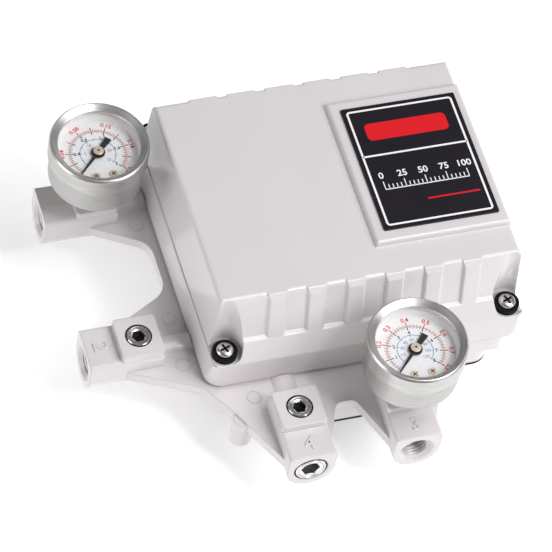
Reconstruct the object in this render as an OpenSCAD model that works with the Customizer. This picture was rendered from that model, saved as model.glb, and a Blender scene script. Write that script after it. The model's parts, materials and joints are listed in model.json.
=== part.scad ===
// Pneumatic valve positioner: a cast base with four threaded port arms, a lift-off
// cover, two 40 mm pressure gauges and the force-balance mechanism under the cover.
// Millimetres, +Z up. Z = 0 is the rear mounting face and the feedback shaft is the Z axis.

/* [Cover] */
// Width of the cover's top face, along X
cover_w = 130; // [124:1:145]
// Depth of the cover's top face, along Y
cover_d = 102; // [98:1:116]
// Height of the cover from the seam to its top face
cover_h = 42.5; // [42:0.5:52]
// Height of the upright rim that the corner screws go through
rim_h = 13; // [11:0.5:15]
// How far the rim stands out from the top face at the two ends
rim_out_x = 4.2; // [3.5:0.1:6]
// How far the rim stands out from the top face at the front and rear
rim_out_y = 12.9; // [12.5:0.1:16]
// Height of the sloped band between the rim and the ribbed wall
band_h = 7.5; // [5:0.5:9]
// How far the ribbed wall leans out at the top of the band
band_out = 5; // [3.5:0.1:6.5]
// Wall thickness of the cover
cover_wall = 3; // [2.5:0.1:3.6]
// Edge radius round the top face
cover_edge_r = 2; // [1:0.1:2.5]
// Radius of the rim's upright corners
rim_corner_r = 7; // [5:0.5:9]
// Radius of the scooped corner that clears each screw
scoop_r = 7.4; // [6.4:0.1:9]
// How much narrower the scooped corner is at the top of the cover
scoop_taper = 1.2; // [0:0.1:2]

/* [Ribs] */
// Ribs on the front wall and on the rear wall
rib_count = 6; // [4:2:6]
// Distance from rib to rib
rib_pitch = 16.8; // [15:0.1:17.5]
// How far the front ribs are shifted to the right and the rear ribs to the left
rib_shift = 1.6; // [0:0.1:2]
// Width of a front rib at the wall
front_rib_w = 8.3; // [6:0.1:11]
// Width of a rear rib at the wall
rear_rib_w = 12.6; // [8:0.1:13.5]
// How far a rib stands proud of its wall
rib_out = 1.5; // [1.2:0.1:2.6]
// How much each flank of a rib draws in
rib_taper = 0.9; // [0.6:0.1:1.6]
// How far the top of a rib falls towards its outer edge
rib_drop = 1.6; // [0.8:0.1:2.2]

/* [Name plate] */
// Length of the raised pad from the right-hand end
plate_pad_w = 59.5; // [56:0.5:66]
// Depth of the raised pad, along Y
plate_pad_d = 75; // [70:0.5:80]
// Height of the raised pad
plate_pad_h = 2.5; // [1.5:0.1:3.5]
// Width of the name plate
nameplate_w = 50.4; // [40:0.1:52]
// Depth of the name plate
nameplate_d = 63.4; // [50:0.1:66]
// Thickness of the name plate
nameplate_t = 0.8; // [0.5:0.1:1.2]

/* [Base] */
// Height of the base from the rear mounting face to the seam
base_h = 18.5; // [18:0.5:22]
// Thickness of the rear gasket
gasket_t = 1.5; // [1:0.1:2]
// Height of the rear pad above the gasket
rear_pad_h = 3.5; // [3:0.1:5]
// Floor level inside the base, above the mounting face
floor_z = 7; // [6.5:0.1:8]
// How far the tub is set in from the rim at the ends
tub_in_x = 4.7; // [4:0.1:6]
// How far the tub is set in from the rim at the front and rear
tub_in_y = 0.8; // [0.5:0.1:2]
// Wall thickness of the tub
tub_wall = 5; // [4.5:0.1:5.5]
// Radius along the tub's lower edges
tub_edge_r = 5; // [3:0.5:6]
// Thickness of the web plate that ties the port arms together
web_t = 5; // [4:0.1:6]
// Level of the web plate's top face
web_top = 17; // [16:0.1:17.5]
// Hole spacing of the rear mounting bolts along X
bolt_dx = 90; // [80:1:94]
// Hole spacing of the rear mounting bolts along Y
bolt_dy = 36; // [34:1:40]
// Tapping diameter of the rear mounting holes
bolt_d = 6.8; // [5:0.1:8.5]
// Depth of the rear mounting holes above the gasket
bolt_depth = 10; // [9:0.5:11]

/* [Ports] */
// Place of the signal port along Y
signal_y = 35.9; // [33:0.1:38]
// Place of the supply port along Y
supply_y = -38.4; // [-41:0.1:-36]
// Place of the first output port along X
output1_x = 8.7; // [6:0.1:11]
// Place of the second output port along X
output2_x = -36.9; // [-40:0.1:-34]
// Gap from the rim to the gauge on the left
gauge_gap_x = 2.3; // [0.5:0.1:9]
// Gap from the rim to the gauge in front
gauge_gap_y = 0.5; // [0.5:0.1:5]
// From the centre of a gauge pad to the end face of its arm
arm_end = 22.5; // [21:0.1:28]
// Width of a port arm
arm_w = 20.4; // [19:0.1:22]
// Diameter of the neck between an arm and the housing
neck_d = 11.6; // [9:0.1:16]
// Level of the port axes
port_z = 14; // [13.5:0.1:15]
// Level of the flat on top of an arm
arm_flat_z = 23.8; // [22.5:0.1:25]
// Level of the gauge pads
pad_z = 27.3; // [26.5:0.1:29]
// Length of a gauge pad along its arm
pad_l = 18; // [15:0.1:20]
// Width of a gauge pad
pad_w = 19.4; // [16:0.1:20]
// Tapping diameter of the main ports
port_d = 11.8; // [10:0.1:12.5]
// Diameter of a main port's chamfered mouth
port_mouth_d = 15; // [13.5:0.1:16]
// Tapped depth of the main ports
port_depth = 14; // [12:0.5:16]
// Tapping diameter of the gauge ports
gauge_port_d = 8.8; // [8:0.1:9.2]
// Diameter of the drilled passages
passage_d = 5; // [3:0.1:6]

/* [Gauges] */
// Diameter of the gauge case
case_d = 40; // [37:0.1:45]
// Thickness of the bezel ring round the case
bezel_wall = 0.9; // [0.8:0.1:2]
// Width of the bezel's sloped face, from its rim to its opening
bezel_face = 3.75; // [2.5:0.05:5]
// Height of the gauge from the back of the case to the bezel's rim
gauge_h = 23.5; // [23:0.1:28]
// Height of the bezel ring
bezel_h = 9.4; // [8.6:0.1:9.6]
// Height of the stem between the gauge pad and the case
stem_h = 12.2; // [8:0.1:16]
// Width across the flats of the stem
stem_af = 12; // [10:0.1:14]
// Length of the pointer from its hub to its tip
pointer_l = 15.4; // [12:0.1:16]
// Sweep of the pointer from zero to full scale, in degrees
pointer_sweep = 270; // [240:6:270]

/* [Mechanism] */
// Diameter of the feedback shaft
shaft_d = 12; // [10:0.1:12.4]
// How far the shaft stands out behind the mounting face
shaft_out = 16; // [12:0.5:30]
// Outer diameter of the shaft bushes
bush_d = 16; // [15.6:0.1:18]
// Turn of the feedback shaft each way from mid stroke, in degrees
shaft_turn = 45; // [30:1:45]
// Turn of the follower lever for each degree of the shaft
lever_ratio = 0.14; // [0.08:0.01:0.15]
// Thickness of the feedback cam
cam_t = 4; // [3:0.1:4.5]
// Diameter of the cam roller
roller_d = 10; // [8:0.1:12]
// Thickness of the follower lever
lever_t = 3; // [2.5:0.1:4]
// Height of the balance beam
beam_h = 7; // [6:0.1:9]
// Thickness of the balance beam
beam_t = 5; // [4:0.1:6]
// Level of the line on which the beam is pushed and pulled
force_z = 38; // [37.5:0.1:40]
// Diameter of the signal bellows
bellows_d = 20; // [16:0.1:20]
// Diameter of the zero knob
knob_d = 16; // [12:0.1:18]
// Bore of the pilot valve
spool_d = 10; // [8:0.1:11]

/* [Hidden] */
$fn = 64;

// Clearances: a running fit, a pressed ring, a free gap, a light touch and a cut's overrun
fit = 0.05;
press_fit = 0.1;
slack = 0.3;
touch = 0.4;
over = 1;

// Levels and half sizes of the cover and base
z_seam = base_h;
z_seat = z_seam + rim_h;
z_top = z_seam + cover_h;
z_pad = z_top + plate_pad_h;
top_x = cover_w / 2;
top_y = cover_d / 2;
rim_x = top_x + rim_out_x;
rim_y = top_y + rim_out_y;
tub_x = rim_x - tub_in_x;
tub_y = rim_y - tub_in_y;
tub_z = gasket_t + rear_pad_h;
well_x = tub_x - tub_wall;
well_y = tub_y - tub_wall;
well_corner_r = 3;

// Small forms of the cover
reveal = 0.8;
end_ledge = 1.7;
end_groove = 1.3;
seat_blend_r = 1.5;
band_blend_r = 3;
ledge_rise = 0.8;
ledge_out = rib_out + 0.4;
ledge_r = 0.8;
rib_edge_r = 0.6;
scoop_foot_r = 2.2;
z_band = z_seat + band_h;
z_wall = z_band + ledge_rise;
form_root = 2;
pad_edge_r = 1.5;
plate_corner_r = 0.6;
plate_mid_x = top_x - plate_pad_w / 2 + reveal;
end_lean = (rim_out_x - end_ledge - reveal / 2) / (cover_h - rim_h);
wall_draft = atan(band_out / (z_top - z_wall));

// Cover screws and the seal in the seam
screw_d = 4;
screw_head_d = 7.6;
screw_head_h = 2.9;
head_edge_r = 1.8;
cross_l = 4.6;
cross_w = 1;
cross_depth = 1.5;
cross_turn = 20;
washer_d = 10.6;
washer_t = 1.4;
washer_lip = 1.3;
screw_in_x = 7.7;
screw_in_y = 7;
screw_bite = 10;
tap_room = 0.5;
boss_r = 7;
screw_spots = [for (sx = [-1, 1], sy = [-1, 1]) [sx * (rim_x - screw_in_x), sy * (rim_y - screw_in_y)]];
seal_in = 1.4;
seal_w = 1.8;
seal_t = 1.5;
groove_room = 0.2;

// Port arms: place of each gauge pad, direction of its arm and reach back to the tub
bezel_d = case_d + 2 * (press_fit + bezel_wall);
bezel_open_d = bezel_d - 2 * bezel_face;
left_pad_x = -(rim_x + bezel_d / 2 + gauge_gap_x);
front_pad_y = -(rim_y + bezel_d / 2 + gauge_gap_y);
arm_tip_y = front_pad_y - arm_end;
signal_spot = [left_pad_x, signal_y];
supply_spot = [left_pad_x, supply_y];
output_spot = [output1_x, front_pad_y];
blank_spot = [output2_x, front_pad_y];
left_reach = -left_pad_x - tub_x + tub_wall / 2;
front_reach = -front_pad_y - tub_y + tub_wall / 2;
ARMS = [[signal_spot, 180, left_reach], [supply_spot, 180, left_reach],
    [output_spot, -90, front_reach], [blank_spot, -90, front_reach]];
PLUGGED = [supply_spot, blank_spot];
half_arm = arm_w / 2;
neck_r = neck_d / 2;
arm_edge_r = 1.5;
mouth_depth = (port_mouth_d - port_d) / 2;
plug_head_d = gauge_port_d + 1.4;
plug_head_h = 1.6;
plug_proud = 0.4;
plug_l = 8.5;
plug_hex = 5;
plug_hex_depth = 4;
port_plug_l = 10;
port_plug_rim = 0.7;
port_plug_hex = 7;
port_plug_hex_depth = 6;

// Web plate: how far its gussets run along the arms and where its edges are waisted
signal_gusset = 5;
supply_gusset = 10;
corner_gusset = 7;
output_gusset = 6;
signal_waist = 13;
supply_waist = 16;
waist_x = tub_x + 8;
waist_r = 10;
corner_in = 6;
corner_out = 14;
corner_r = 6;
notch_y = tub_y + 17.3;
notch_mid = (output1_x + output2_x) / 2;
notch_half = 4;
notch_r = 3.5;
flank_x = output1_x + half_arm + 12;
flank_y = tub_y + 8;
flank_root = 8;

// Rear pad with the tongue under the front ports, and the foot beside it
rear_pad_x = tub_x - 6.5;
rear_corner_r = 8;
tongue_x = 22;
tongue_y = tub_y + 16;
tongue_r = 6;
foot = [-tub_x + 7, -tongue_y];
foot_r = 4.5;
bolt_spots = [for (sx = [-1, 1], sy = [-1, 1]) [sx * bolt_dx / 2, sy * bolt_dy / 2]];
bolt_boss_r = bolt_d / 2 + 2.5;
bolt_cap = 3;

// Gauge levels, above the back of the case
gauge_z = pad_z + stem_h;
case_r = case_d / 2;
case_t = 0.8;
case_edge_r = 3;
seat_r = case_r - case_t;
bezel_z = gauge_h - bezel_h;
bezel_crown = 1;
bezel_rim = 0.9;
bezel_fall = 2;
dial_t = 0.6;
dial_gap = 0.2;
dial_z = bezel_z + 0.5;
dial_eye_r = 1.2;
lens_t = 1.5;
lens_z = gauge_h - 4.5;
stem_thread_l = 7.5;
stem_boss_r = 5;
stem_bore_r = 1.5;
needle_z = dial_z + dial_t + 0.8;
needle_t = 0.5;
needle_tip = 0.15;
needle_waist = 0.8;
needle_tail = [8.5, 1.4];
needle_disc_r = 2.9;
hub_r = 2.25;
hub_h = 1.3;
plate_t = 1;
low_plate_z = 5;
high_plate_z = low_plate_z + 4.4;
gear_z = low_plate_z + 1.7;
gear_t = 1.4;
movement_r = 12.6;
dial_screw_x = 3.7;
dial_screw_y = -11.5;
dial_screw_r = 1.7;
dial_screw_h = 0.7;
dial_shank_r = 0.8;
dial_bite = 2.5;
pillar_r = 1.05;
slot_w = 0.5;
arbor_r = 0.7;

// Gear pair of a gauge movement, and its tube
pinion_teeth = 12;
sector_teeth = 72;
gear_module = 0.28;
pinion_r = pinion_teeth * gear_module / 2;
sector_r = sector_teeth * gear_module / 2;
sector_y = pinion_r + sector_r;
sector_sweep = pointer_sweep * pinion_teeth / sector_teeth;
sector_step = 360 / sector_teeth;
sector_hub_r = 1.6;
sector_pin_r = 0.6;
spare_teeth = 2;
tube_r = movement_r + 1;
tube_w = 2.2;
tube_h = 4.8;
tube_skin = 0.5;
tube_arc = 250;
tube_start = -150;
tube_z = low_plate_z + 1.6;
block_w = 5;
block_z = 1.6;

// Feedback shaft, cam and lever
journal_d = shaft_d - 1;
tang_af = shaft_d - 4;
tang_l = 7;
collar_l = 3;
collar_rim = 1.5;
bush_top = floor_z + 5;
bush_gap = 0.2;
bush_boss = 5;
seal_h = 3;
bush_h = (bush_top - gasket_t - seal_h - 2 * bush_gap) / 2;
ring_t = 1;
ring_rim = 2;
ring_groove = 1;
ring_z = bush_top + slack;
cam_z = bush_top + 2.5;
cam_seat_d = shaft_d - 4;
cam_hub_r = cam_seat_d / 2 + 5;
cam_margin = 7;
cam_step = 4;
cam_hole_r = 2.5;
nut_af = 13;
nut_h = 4.5;
lever_z = cam_z + cam_t + 1.5;
lever_pivot = [-well_x + 13.5, 34];
roller_rest = [4, 32];
spring_post = [20, 31.4];
lever_root = 6.5;
lever_tip = 4.2;
lever_hub_r = 7;
lever_eye_r = 6;
lever_end_r = 4.5;
lever_hole_r = 2.6;
lever_hole_from = 14;
lever_hole_step = 12;
axle_r = 2;
roller_lip = 0.5;
roller_h = cam_t + 2 * roller_lip;
roller_z = cam_z - roller_lip;
pivot_pin_d = 6;
pin_boss_r = 5.5;
pin_bite = 10;
pin_rim = 2;
pin_head_h = 1.6;
seat_gap = 0.2;

// Beam and what acts on it
beam_y = 10.5;
beam_pivot = [well_x - 13.5, beam_y];
bellows_x = -well_x + 25.5;
beam_left = bellows_x - 12;
beam_right = beam_pivot[0] + 6;
beam_z = force_z - beam_h / 2;
beam_front = beam_y - beam_t / 2;
beam_rear = beam_y + beam_t / 2;
beam_pin_d = 5;
beam_edge_r = 1.5;
beam_hole_r = 1.8;
beam_holes = [bellows_x + 10, 0, 10];
bellows_back = top_y - 5;
bellows_l = 22;
folds = 6;
flange_h = 4;
end_plate_h = 2;
rod_r = 2;
bracket_t = 3;
bracket_foot = 10;
bracket_r = 5;
nozzle_x = bellows_x + 14;
nozzle_y = -13;
nozzle_gap = 0.6;
nozzle_r = 2.4;
nozzle_tip_r = 1.2;
nozzle_tip_l = 2;
nozzle_bore_r = 0.5;
post_w = 8;
post_rise = 5;
spring_r = 2.7;
wire_r = 0.5;

// Pilot valve
pilot_d = 23.4;
pilot_h = 26;
pilot_x0 = output2_x - 4.5;
pilot_x1 = output1_x + 9.3;
pilot_y = -well_y + 6 + pilot_d / 2;
pilot_r = 1.5;
pilot_top = floor_z + pilot_h;
spool_z = floor_z + 17;
spool_stroke = 2;
spool_land = 8;
spool_lands = 4;
spool_neck = 2;
cap_t = 4;
cap_rim = 1.4;
pilot_screw_in = 5;
pilot_screw_out = 3.5;
pilot_head_r = 3;
pilot_head_h = 3.5;
pilot_hex = 3;
pilot_screw_spots = [for (x = [pilot_x0 + pilot_screw_in, pilot_x1 - pilot_screw_in], s = [-1, 1])
    [x, pilot_y + s * (spool_d / 2 + pilot_screw_out)]];
manual_spot = [pilot_x0 + 18, pilot_y];
manual_r = 2.5;
manual_head_r = 4;
manual_head_h = 3;
manual_slot = 1.2;

// Zero adjuster beside the pilot valve
zero_x = pilot_x1 + cap_t + 5;
zero_y = -20;
zero_t = 6;
zero_half = 6;
zero_foot = 9;
zero_foot_t = 3;
zero_screw_d = 6;
zero_reach = 12;
zero_tip_y = zero_y + zero_reach;
zero_thread = 5;
knob_h = 7;
knob_flute_r = 1;
knob_flute_out = 0.4;
knob_slot = 1.2;

// Inner tubes and the vent
pipe_d = 6;
thin_pipe_r = 1.6;
pipe_bend = 3;
pipe_off = 3.6;
vent_x = 30;
vent_z = 12;
vent_d = 11;
vent_h = 4;
vent_neck_r = 4;
vent_hole_r = 0.8;
vent_ring_r = 3;

// Plane geometry
function unit(v) = v / norm(v);
function turned(v, a) = [v[0] * cos(a) - v[1] * sin(a), v[0] * sin(a) + v[1] * cos(a)];
function winding(a, b, c) = (b[0] - a[0]) * (c[1] - b[1]) - (b[1] - a[1]) * (c[0] - b[0]);
function both_sides(half) = concat(half,
    [for (i = [len(half) - 1:-1:0]) [-half[i][0], half[i][1], half[i][2]]]);

// A polygon, given anticlockwise as [x, y, radius], with each corner rounded by its radius
module soft_outline(corners) {
    n = len(corners);
    p = [for (c = corners) [c[0], c[1]]];
    r = [for (c = corners) c[2]];
    back = [for (i = [0:n - 1]) unit(p[(i + n - 1) % n] - p[i])];
    ahead = [for (i = [0:n - 1]) unit(p[(i + 1) % n] - p[i])];
    half = [for (i = [0:n - 1]) acos(back[i] * ahead[i]) / 2];
    convex = [for (i = [0:n - 1]) winding(p[(i + n - 1) % n], p[i], p[(i + 1) % n]) > 0];
    centre = [for (i = [0:n - 1]) p[i] + unit(back[i] + ahead[i]) * r[i] / sin(half[i])];
    difference() {
        union() {
            polygon([for (i = [0:n - 1]) each r[i] > 0
                ? [p[i] + back[i] * r[i] / tan(half[i]), p[i] + ahead[i] * r[i] / tan(half[i])]
                : [p[i]]]);
            for (i = [0:n - 1]) if (r[i] > 0 && convex[i]) translate(centre[i]) circle(r[i]);
        }
        for (i = [0:n - 1]) if (r[i] > 0 && !convex[i]) translate(centre[i]) circle(r[i]);
    }
}
module soft_rectangle(hx, hy, r) soft_outline(both_sides([[hx, -hy, r], [hx, hy, r]]));

// A cylinder along Z from level z, at a point of the plan
module post(spot, z, h, r) translate([spot[0], spot[1], z]) cylinder(h, r, r);

// A ring round Z
module sleeve(z, h, outer, inner) translate([0, 0, z]) difference() {
    cylinder(h, outer, outer);
    translate([0, 0, -over]) cylinder(h + 2 * over, inner, inner);
}

// A profile drawn in Y and Z, carried along X, and one drawn in X and Z, carried along Y
module along_x(l) rotate([90, 0, 90]) linear_extrude(l, center = true) children();
module along_y(l) rotate([90, 0, 0]) linear_extrude(l, center = true) children();

// A round bar from one point to another, and a tube bent square through a list of points,
// with a short sleeve where a bend is joined on
module bar(a, b, r) {
    d = b - a;
    translate(a) rotate([0, acos(d[2] / norm(d)), atan2(d[1], d[0])]) cylinder(norm(d), r, r);
}
module bent_bar(points, r, bend) {
    n = len(points);
    for (i = [0:n - 2]) {
        u = unit(points[i + 1] - points[i]);
        bar(points[i] + u * (i == 0 ? 0 : bend), points[i + 1] - u * (i == n - 2 ? 0 : bend), r);
    }
    for (i = [1:n - 2]) {
        u = unit(points[i] - points[i - 1]);
        v = unit(points[i + 1] - points[i]);
        w = cross(u, v);
        c = points[i] - u * bend + v * bend;
        multmatrix([for (k = [0:2]) [-v[k], u[k], w[k], c[k]]])
            rotate_extrude(angle = 90) translate([bend, 0]) circle(r);
        bar(points[i] - u * (bend + touch), points[i] - u * (bend - touch), r + press_fit);
        bar(points[i] + v * (bend - touch), points[i] + v * (bend + touch), r + press_fit);
    }
}

// A coil spring along Z: rings of a round wire swept up a helix
module coil(l, r, wire, turns) {
    sides = 8;
    steps = 14 * turns;
    rise = l - 2 * wire;
    rings = [for (k = [0:steps]) let (a = 360 * turns * k / steps, z = wire + rise * k / steps)
        [for (s = [0:sides - 1]) let (q = 360 * s / sides)
            [(r + wire * cos(q)) * cos(a), (r + wire * cos(q)) * sin(a), z + wire * sin(q)]]];
    polyhedron([for (ring = rings) each ring],
        concat([[for (s = [0:sides - 1]) s]],
            [for (k = [0:steps - 1], s = [0:sides - 1])
                [k * sides + s, (k + 1) * sides + s, (k + 1) * sides + (s + 1) % sides,
                    k * sides + (s + 1) % sides]],
            [[for (s = [sides - 1:-1:0]) steps * sides + s]]));
}

// A hexagon key socket sunk below level 0
module hex_hole(af, depth) translate([0, 0, -depth])
    cylinder(depth + over, af / sqrt(3), af / sqrt(3), $fn = 6);

// The hollow under the cover in plan: grow widens it, column is the radius kept round each screw
module well(column, grow) difference() {
    soft_rectangle(well_x + grow, well_y + grow, well_corner_r);
    for (p = screw_spots) translate(p) circle(column - grow);
}

// Cover sections across and along, set in by d for the inside
function cover_side(d) = both_sides(d > 0
    ? [[rim_y - d, z_seam - over, 0], [rim_y - reveal - d, z_seat - d / 2, seat_blend_r],
        [top_y + band_out - d, z_band - d / 2, band_blend_r], [top_y - d, z_top - d, cover_edge_r]]
    : [[rim_y, z_seam, 0], [rim_y - reveal, z_seat, seat_blend_r],
        [top_y + band_out + ledge_out, z_band, ledge_r], [top_y + band_out, z_wall, ledge_r],
        [top_y, z_top, cover_edge_r]]);
function cover_end(d) = both_sides(d > 0
    ? [[rim_x - d, z_seam - over, 0], [top_x - d, z_top - d, cover_edge_r]]
    : [[rim_x, z_seam, 0], [rim_x - end_ledge, z_seat, ledge_r],
        [rim_x - end_ledge - end_groove, z_seat, 0],
        [rim_x - end_ledge - end_groove, z_seat + reveal, 0],
        [rim_x - end_ledge - reveal / 2, z_seat + reveal, 0],
        [top_x, z_top, cover_edge_r]]);
module cover_form(d) intersection() {
    along_x(2 * (rim_x + over)) soft_outline(cover_side(d));
    along_y(2 * (rim_y + over)) soft_outline(cover_end(d));
}

// One rib on the front wall: a tapered prism leaning with the wall, its top cut on a slope
// and its foot buried in the band
module rib(w) intersection() {
    translate([0, -top_y, z_top]) rotate([-wall_draft, 0, 0]) translate([0, 0, -cover_h])
        linear_extrude(cover_h + cover_wall) soft_outline(both_sides([
            [w / 2 - rib_taper, -rib_out, rib_edge_r], [w / 2, 0, 0], [w / 2, form_root, 0]]));
    along_x(2 * w) polygon([[-top_y + cover_wall, z_band - ledge_rise], [-rim_y, z_band - ledge_rise],
        [-rim_y, z_top - rib_drop * rim_out_y / rib_out], [-top_y, z_top], [-top_y + cover_wall, z_top]]);
}
module ribs(w) for (i = [0:rib_count - 1])
    translate([rib_shift + (i - (rib_count - 1) / 2) * rib_pitch, 0, 0]) rib(w);

// The scooped corner over a screw: an upright pocket with a rounded foot, and a flat for the washer
module scoop(p) translate([p[0], p[1], z_seat]) {
    cylinder(cover_h, washer_d / 2 + slack, washer_d / 2 + slack);
    rotate_extrude() intersection() {
        soft_outline(both_sides([[scoop_r, 0, scoop_foot_r],
            [scoop_r - scoop_taper * cover_h / (z_top - z_seat), cover_h, 0]]));
        square([2 * scoop_r, cover_h]);
    }
}

// The raised pad for the name plate, open towards the right-hand end
module plate_pad() intersection() {
    along_y(plate_pad_d) soft_outline([[top_x - plate_pad_w, z_top - form_root, 0],
        [top_x + form_root * end_lean, z_top - form_root, 0],
        [top_x - plate_pad_h * end_lean, z_pad, pad_edge_r],
        [top_x - plate_pad_w + reveal, z_pad, pad_edge_r]]);
    along_x(2 * cover_w) soft_outline(both_sides([[plate_pad_d / 2, z_top - form_root, 0],
        [plate_pad_d / 2 - reveal, z_pad, pad_edge_r]]));
}

module front_cover() color([0.85, 0.84, 0.83]) difference() {
    union() {
        difference() {
            intersection() {
                cover_form(0);
                translate([0, 0, z_seam]) linear_extrude(cover_h)
                    soft_rectangle(rim_x, rim_y, rim_corner_r);
            }
            for (p = screw_spots) scoop(p);
        }
        ribs(front_rib_w);
        rotate(180) ribs(rear_rib_w);
        plate_pad();
    }
    intersection() {
        cover_form(cover_wall);
        translate([0, 0, z_seam - over]) linear_extrude(cover_h) well(scoop_r + cover_wall, 0);
    }
    for (p = screw_spots) post(p, z_seam - over, rim_h + 2 * over, screw_d / 2 + slack);
}

module cover_nameplate() color([0.05, 0.05, 0.06]) translate([plate_mid_x, 0, z_pad])
    linear_extrude(nameplate_t) soft_rectangle(nameplate_w / 2, nameplate_d / 2, plate_corner_r);

module cover_seal() color([0.1, 0.1, 0.1]) translate([0, 0, z_seam - seal_t])
    linear_extrude(seal_t) difference() {
        well(boss_r, seal_in + seal_w);
        well(boss_r, seal_in);
    }

module screw_head() rotate_extrude() intersection() {
    soft_outline(both_sides([[screw_head_d / 2, 0, 0], [screw_head_d / 2, screw_head_h, head_edge_r]]));
    square(screw_head_d);
}
module cover_screws() color([0.8, 0.8, 0.8]) for (p = screw_spots)
    translate([p[0], p[1], z_seat + washer_t]) difference() {
        union() {
            screw_head();
            translate([0, 0, over - rim_h - washer_t - screw_bite])
                cylinder(rim_h + washer_t + screw_bite, screw_d / 2 - fit, screw_d / 2 - fit);
        }
        for (a = [0, 90]) rotate(a + cross_turn)
            translate([-cross_l / 2, -cross_w / 2, screw_head_h - cross_depth])
                cube([cross_l, cross_w, cross_depth + over]);
    }

module cover_screw_washers() color([0.06, 0.06, 0.06]) for (p = screw_spots)
    translate(p) {
        sleeve(z_seat, washer_t, washer_d / 2, screw_d / 2 + slack);
        sleeve(z_seat, washer_t + washer_lip, washer_d / 2, screw_head_d / 2 + slack);
    }

// A port arm, drawn along +X from the centre of its gauge pad: round below, flat on top
module arm_section() {
    difference() {
        circle(half_arm);
        translate([-arm_w, over]) square([2 * arm_w, arm_w]);
    }
    soft_outline(both_sides([[half_arm, 0, 0], [half_arm, arm_flat_z - port_z, arm_edge_r]]));
}
module port_arm(reach) {
    translate([(arm_end - pad_l / 2) / 2, 0, port_z]) along_x(arm_end + pad_l / 2) arm_section();
    translate([0, 0, web_top - over]) linear_extrude(pad_z - web_top + over)
        soft_rectangle(pad_l / 2, pad_w / 2, arm_edge_r);
    translate([-reach, 0, port_z]) rotate([0, 90, 0]) cylinder(reach, neck_r, neck_r);
}
module port_bores(reach) {
    translate([arm_end - port_depth, 0, port_z]) rotate([0, 90, 0])
        cylinder(port_depth + over, port_d / 2, port_d / 2);
    translate([arm_end - mouth_depth, 0, port_z]) rotate([0, 90, 0])
        cylinder(mouth_depth + touch, port_d / 2, port_mouth_d / 2 + touch);
    translate([-reach - tub_wall, 0, port_z]) rotate([0, 90, 0])
        cylinder(reach + tub_wall + arm_end - port_depth + over, passage_d / 2, passage_d / 2);
    translate([0, 0, port_z]) cylinder(pad_z, gauge_port_d / 2, gauge_port_d / 2);
}
module at_arm(arm) translate(arm[0]) rotate(arm[1]) children();

// The web plate's outline: gussets from arm to arm, waisted between them
module web_outline() soft_outline([
    [left_pad_x, signal_y + half_arm, 0],
    [left_pad_x - signal_gusset, signal_y - half_arm + over, 0],
    [-waist_x, signal_y - half_arm - signal_waist, waist_r],
    [-waist_x, supply_y + half_arm + supply_waist, waist_r],
    [left_pad_x - supply_gusset, supply_y + half_arm, 0],
    [left_pad_x - corner_gusset, supply_y - half_arm, 0],
    [-tub_x - corner_in, -tub_y + over, waist_r - over],
    [-tub_x + corner_in - form_root, -tub_y - corner_out, corner_r],
    [output2_x - half_arm, arm_tip_y + output_gusset - over, 0],
    [output2_x + half_arm, arm_tip_y + output_gusset + over, 0],
    [notch_mid - notch_half, -notch_y, notch_r],
    [notch_mid + notch_half, -notch_y, notch_r],
    [output1_x - half_arm, arm_tip_y + output_gusset, 0],
    [output1_x + half_arm, arm_tip_y + output_gusset + over, 0],
    [flank_x, -flank_y, waist_r - over],
    [flank_x + flank_root, -tub_y + corner_in, 0],
    [0, 0, 0],
    [-tub_x + corner_in, well_y, 0],
    [-tub_x - corner_in, signal_y + half_arm + flank_root, flank_root]]);

// Outline of the rear pad, with the tongue that carries the front ports
module rear_outline() {
    soft_rectangle(rear_pad_x, tub_y, rear_corner_r);
    soft_outline([[-tongue_x, -tongue_y, tongue_r], [tongue_x, -tongue_y, tongue_r],
        [tongue_x, 0, 0], [-tongue_x, 0, 0]]);
}

module base_form() {
    intersection() {
        along_x(2 * rim_x) soft_outline(both_sides([[tub_y, tub_z, tub_edge_r], [tub_y, z_seam, 0]]));
        along_y(2 * rim_y) soft_outline(both_sides([[tub_x, tub_z, tub_edge_r], [tub_x, z_seam, 0]]));
        linear_extrude(z_seam) soft_rectangle(tub_x, tub_y, rim_corner_r);
    }
    translate([0, 0, gasket_t]) linear_extrude(web_top - web_t - gasket_t + over) rear_outline();
    post(foot, gasket_t, web_top - gasket_t - over, foot_r);
    difference() {
        union() {
            translate([0, 0, web_top - web_t]) linear_extrude(web_t) web_outline();
            for (arm = ARMS) at_arm(arm) port_arm(arm[2]);
        }
        translate([0, 0, z_seam]) linear_extrude(z_top)
            soft_rectangle(rim_x + slack, rim_y + slack, rim_corner_r);
    }
}

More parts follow.
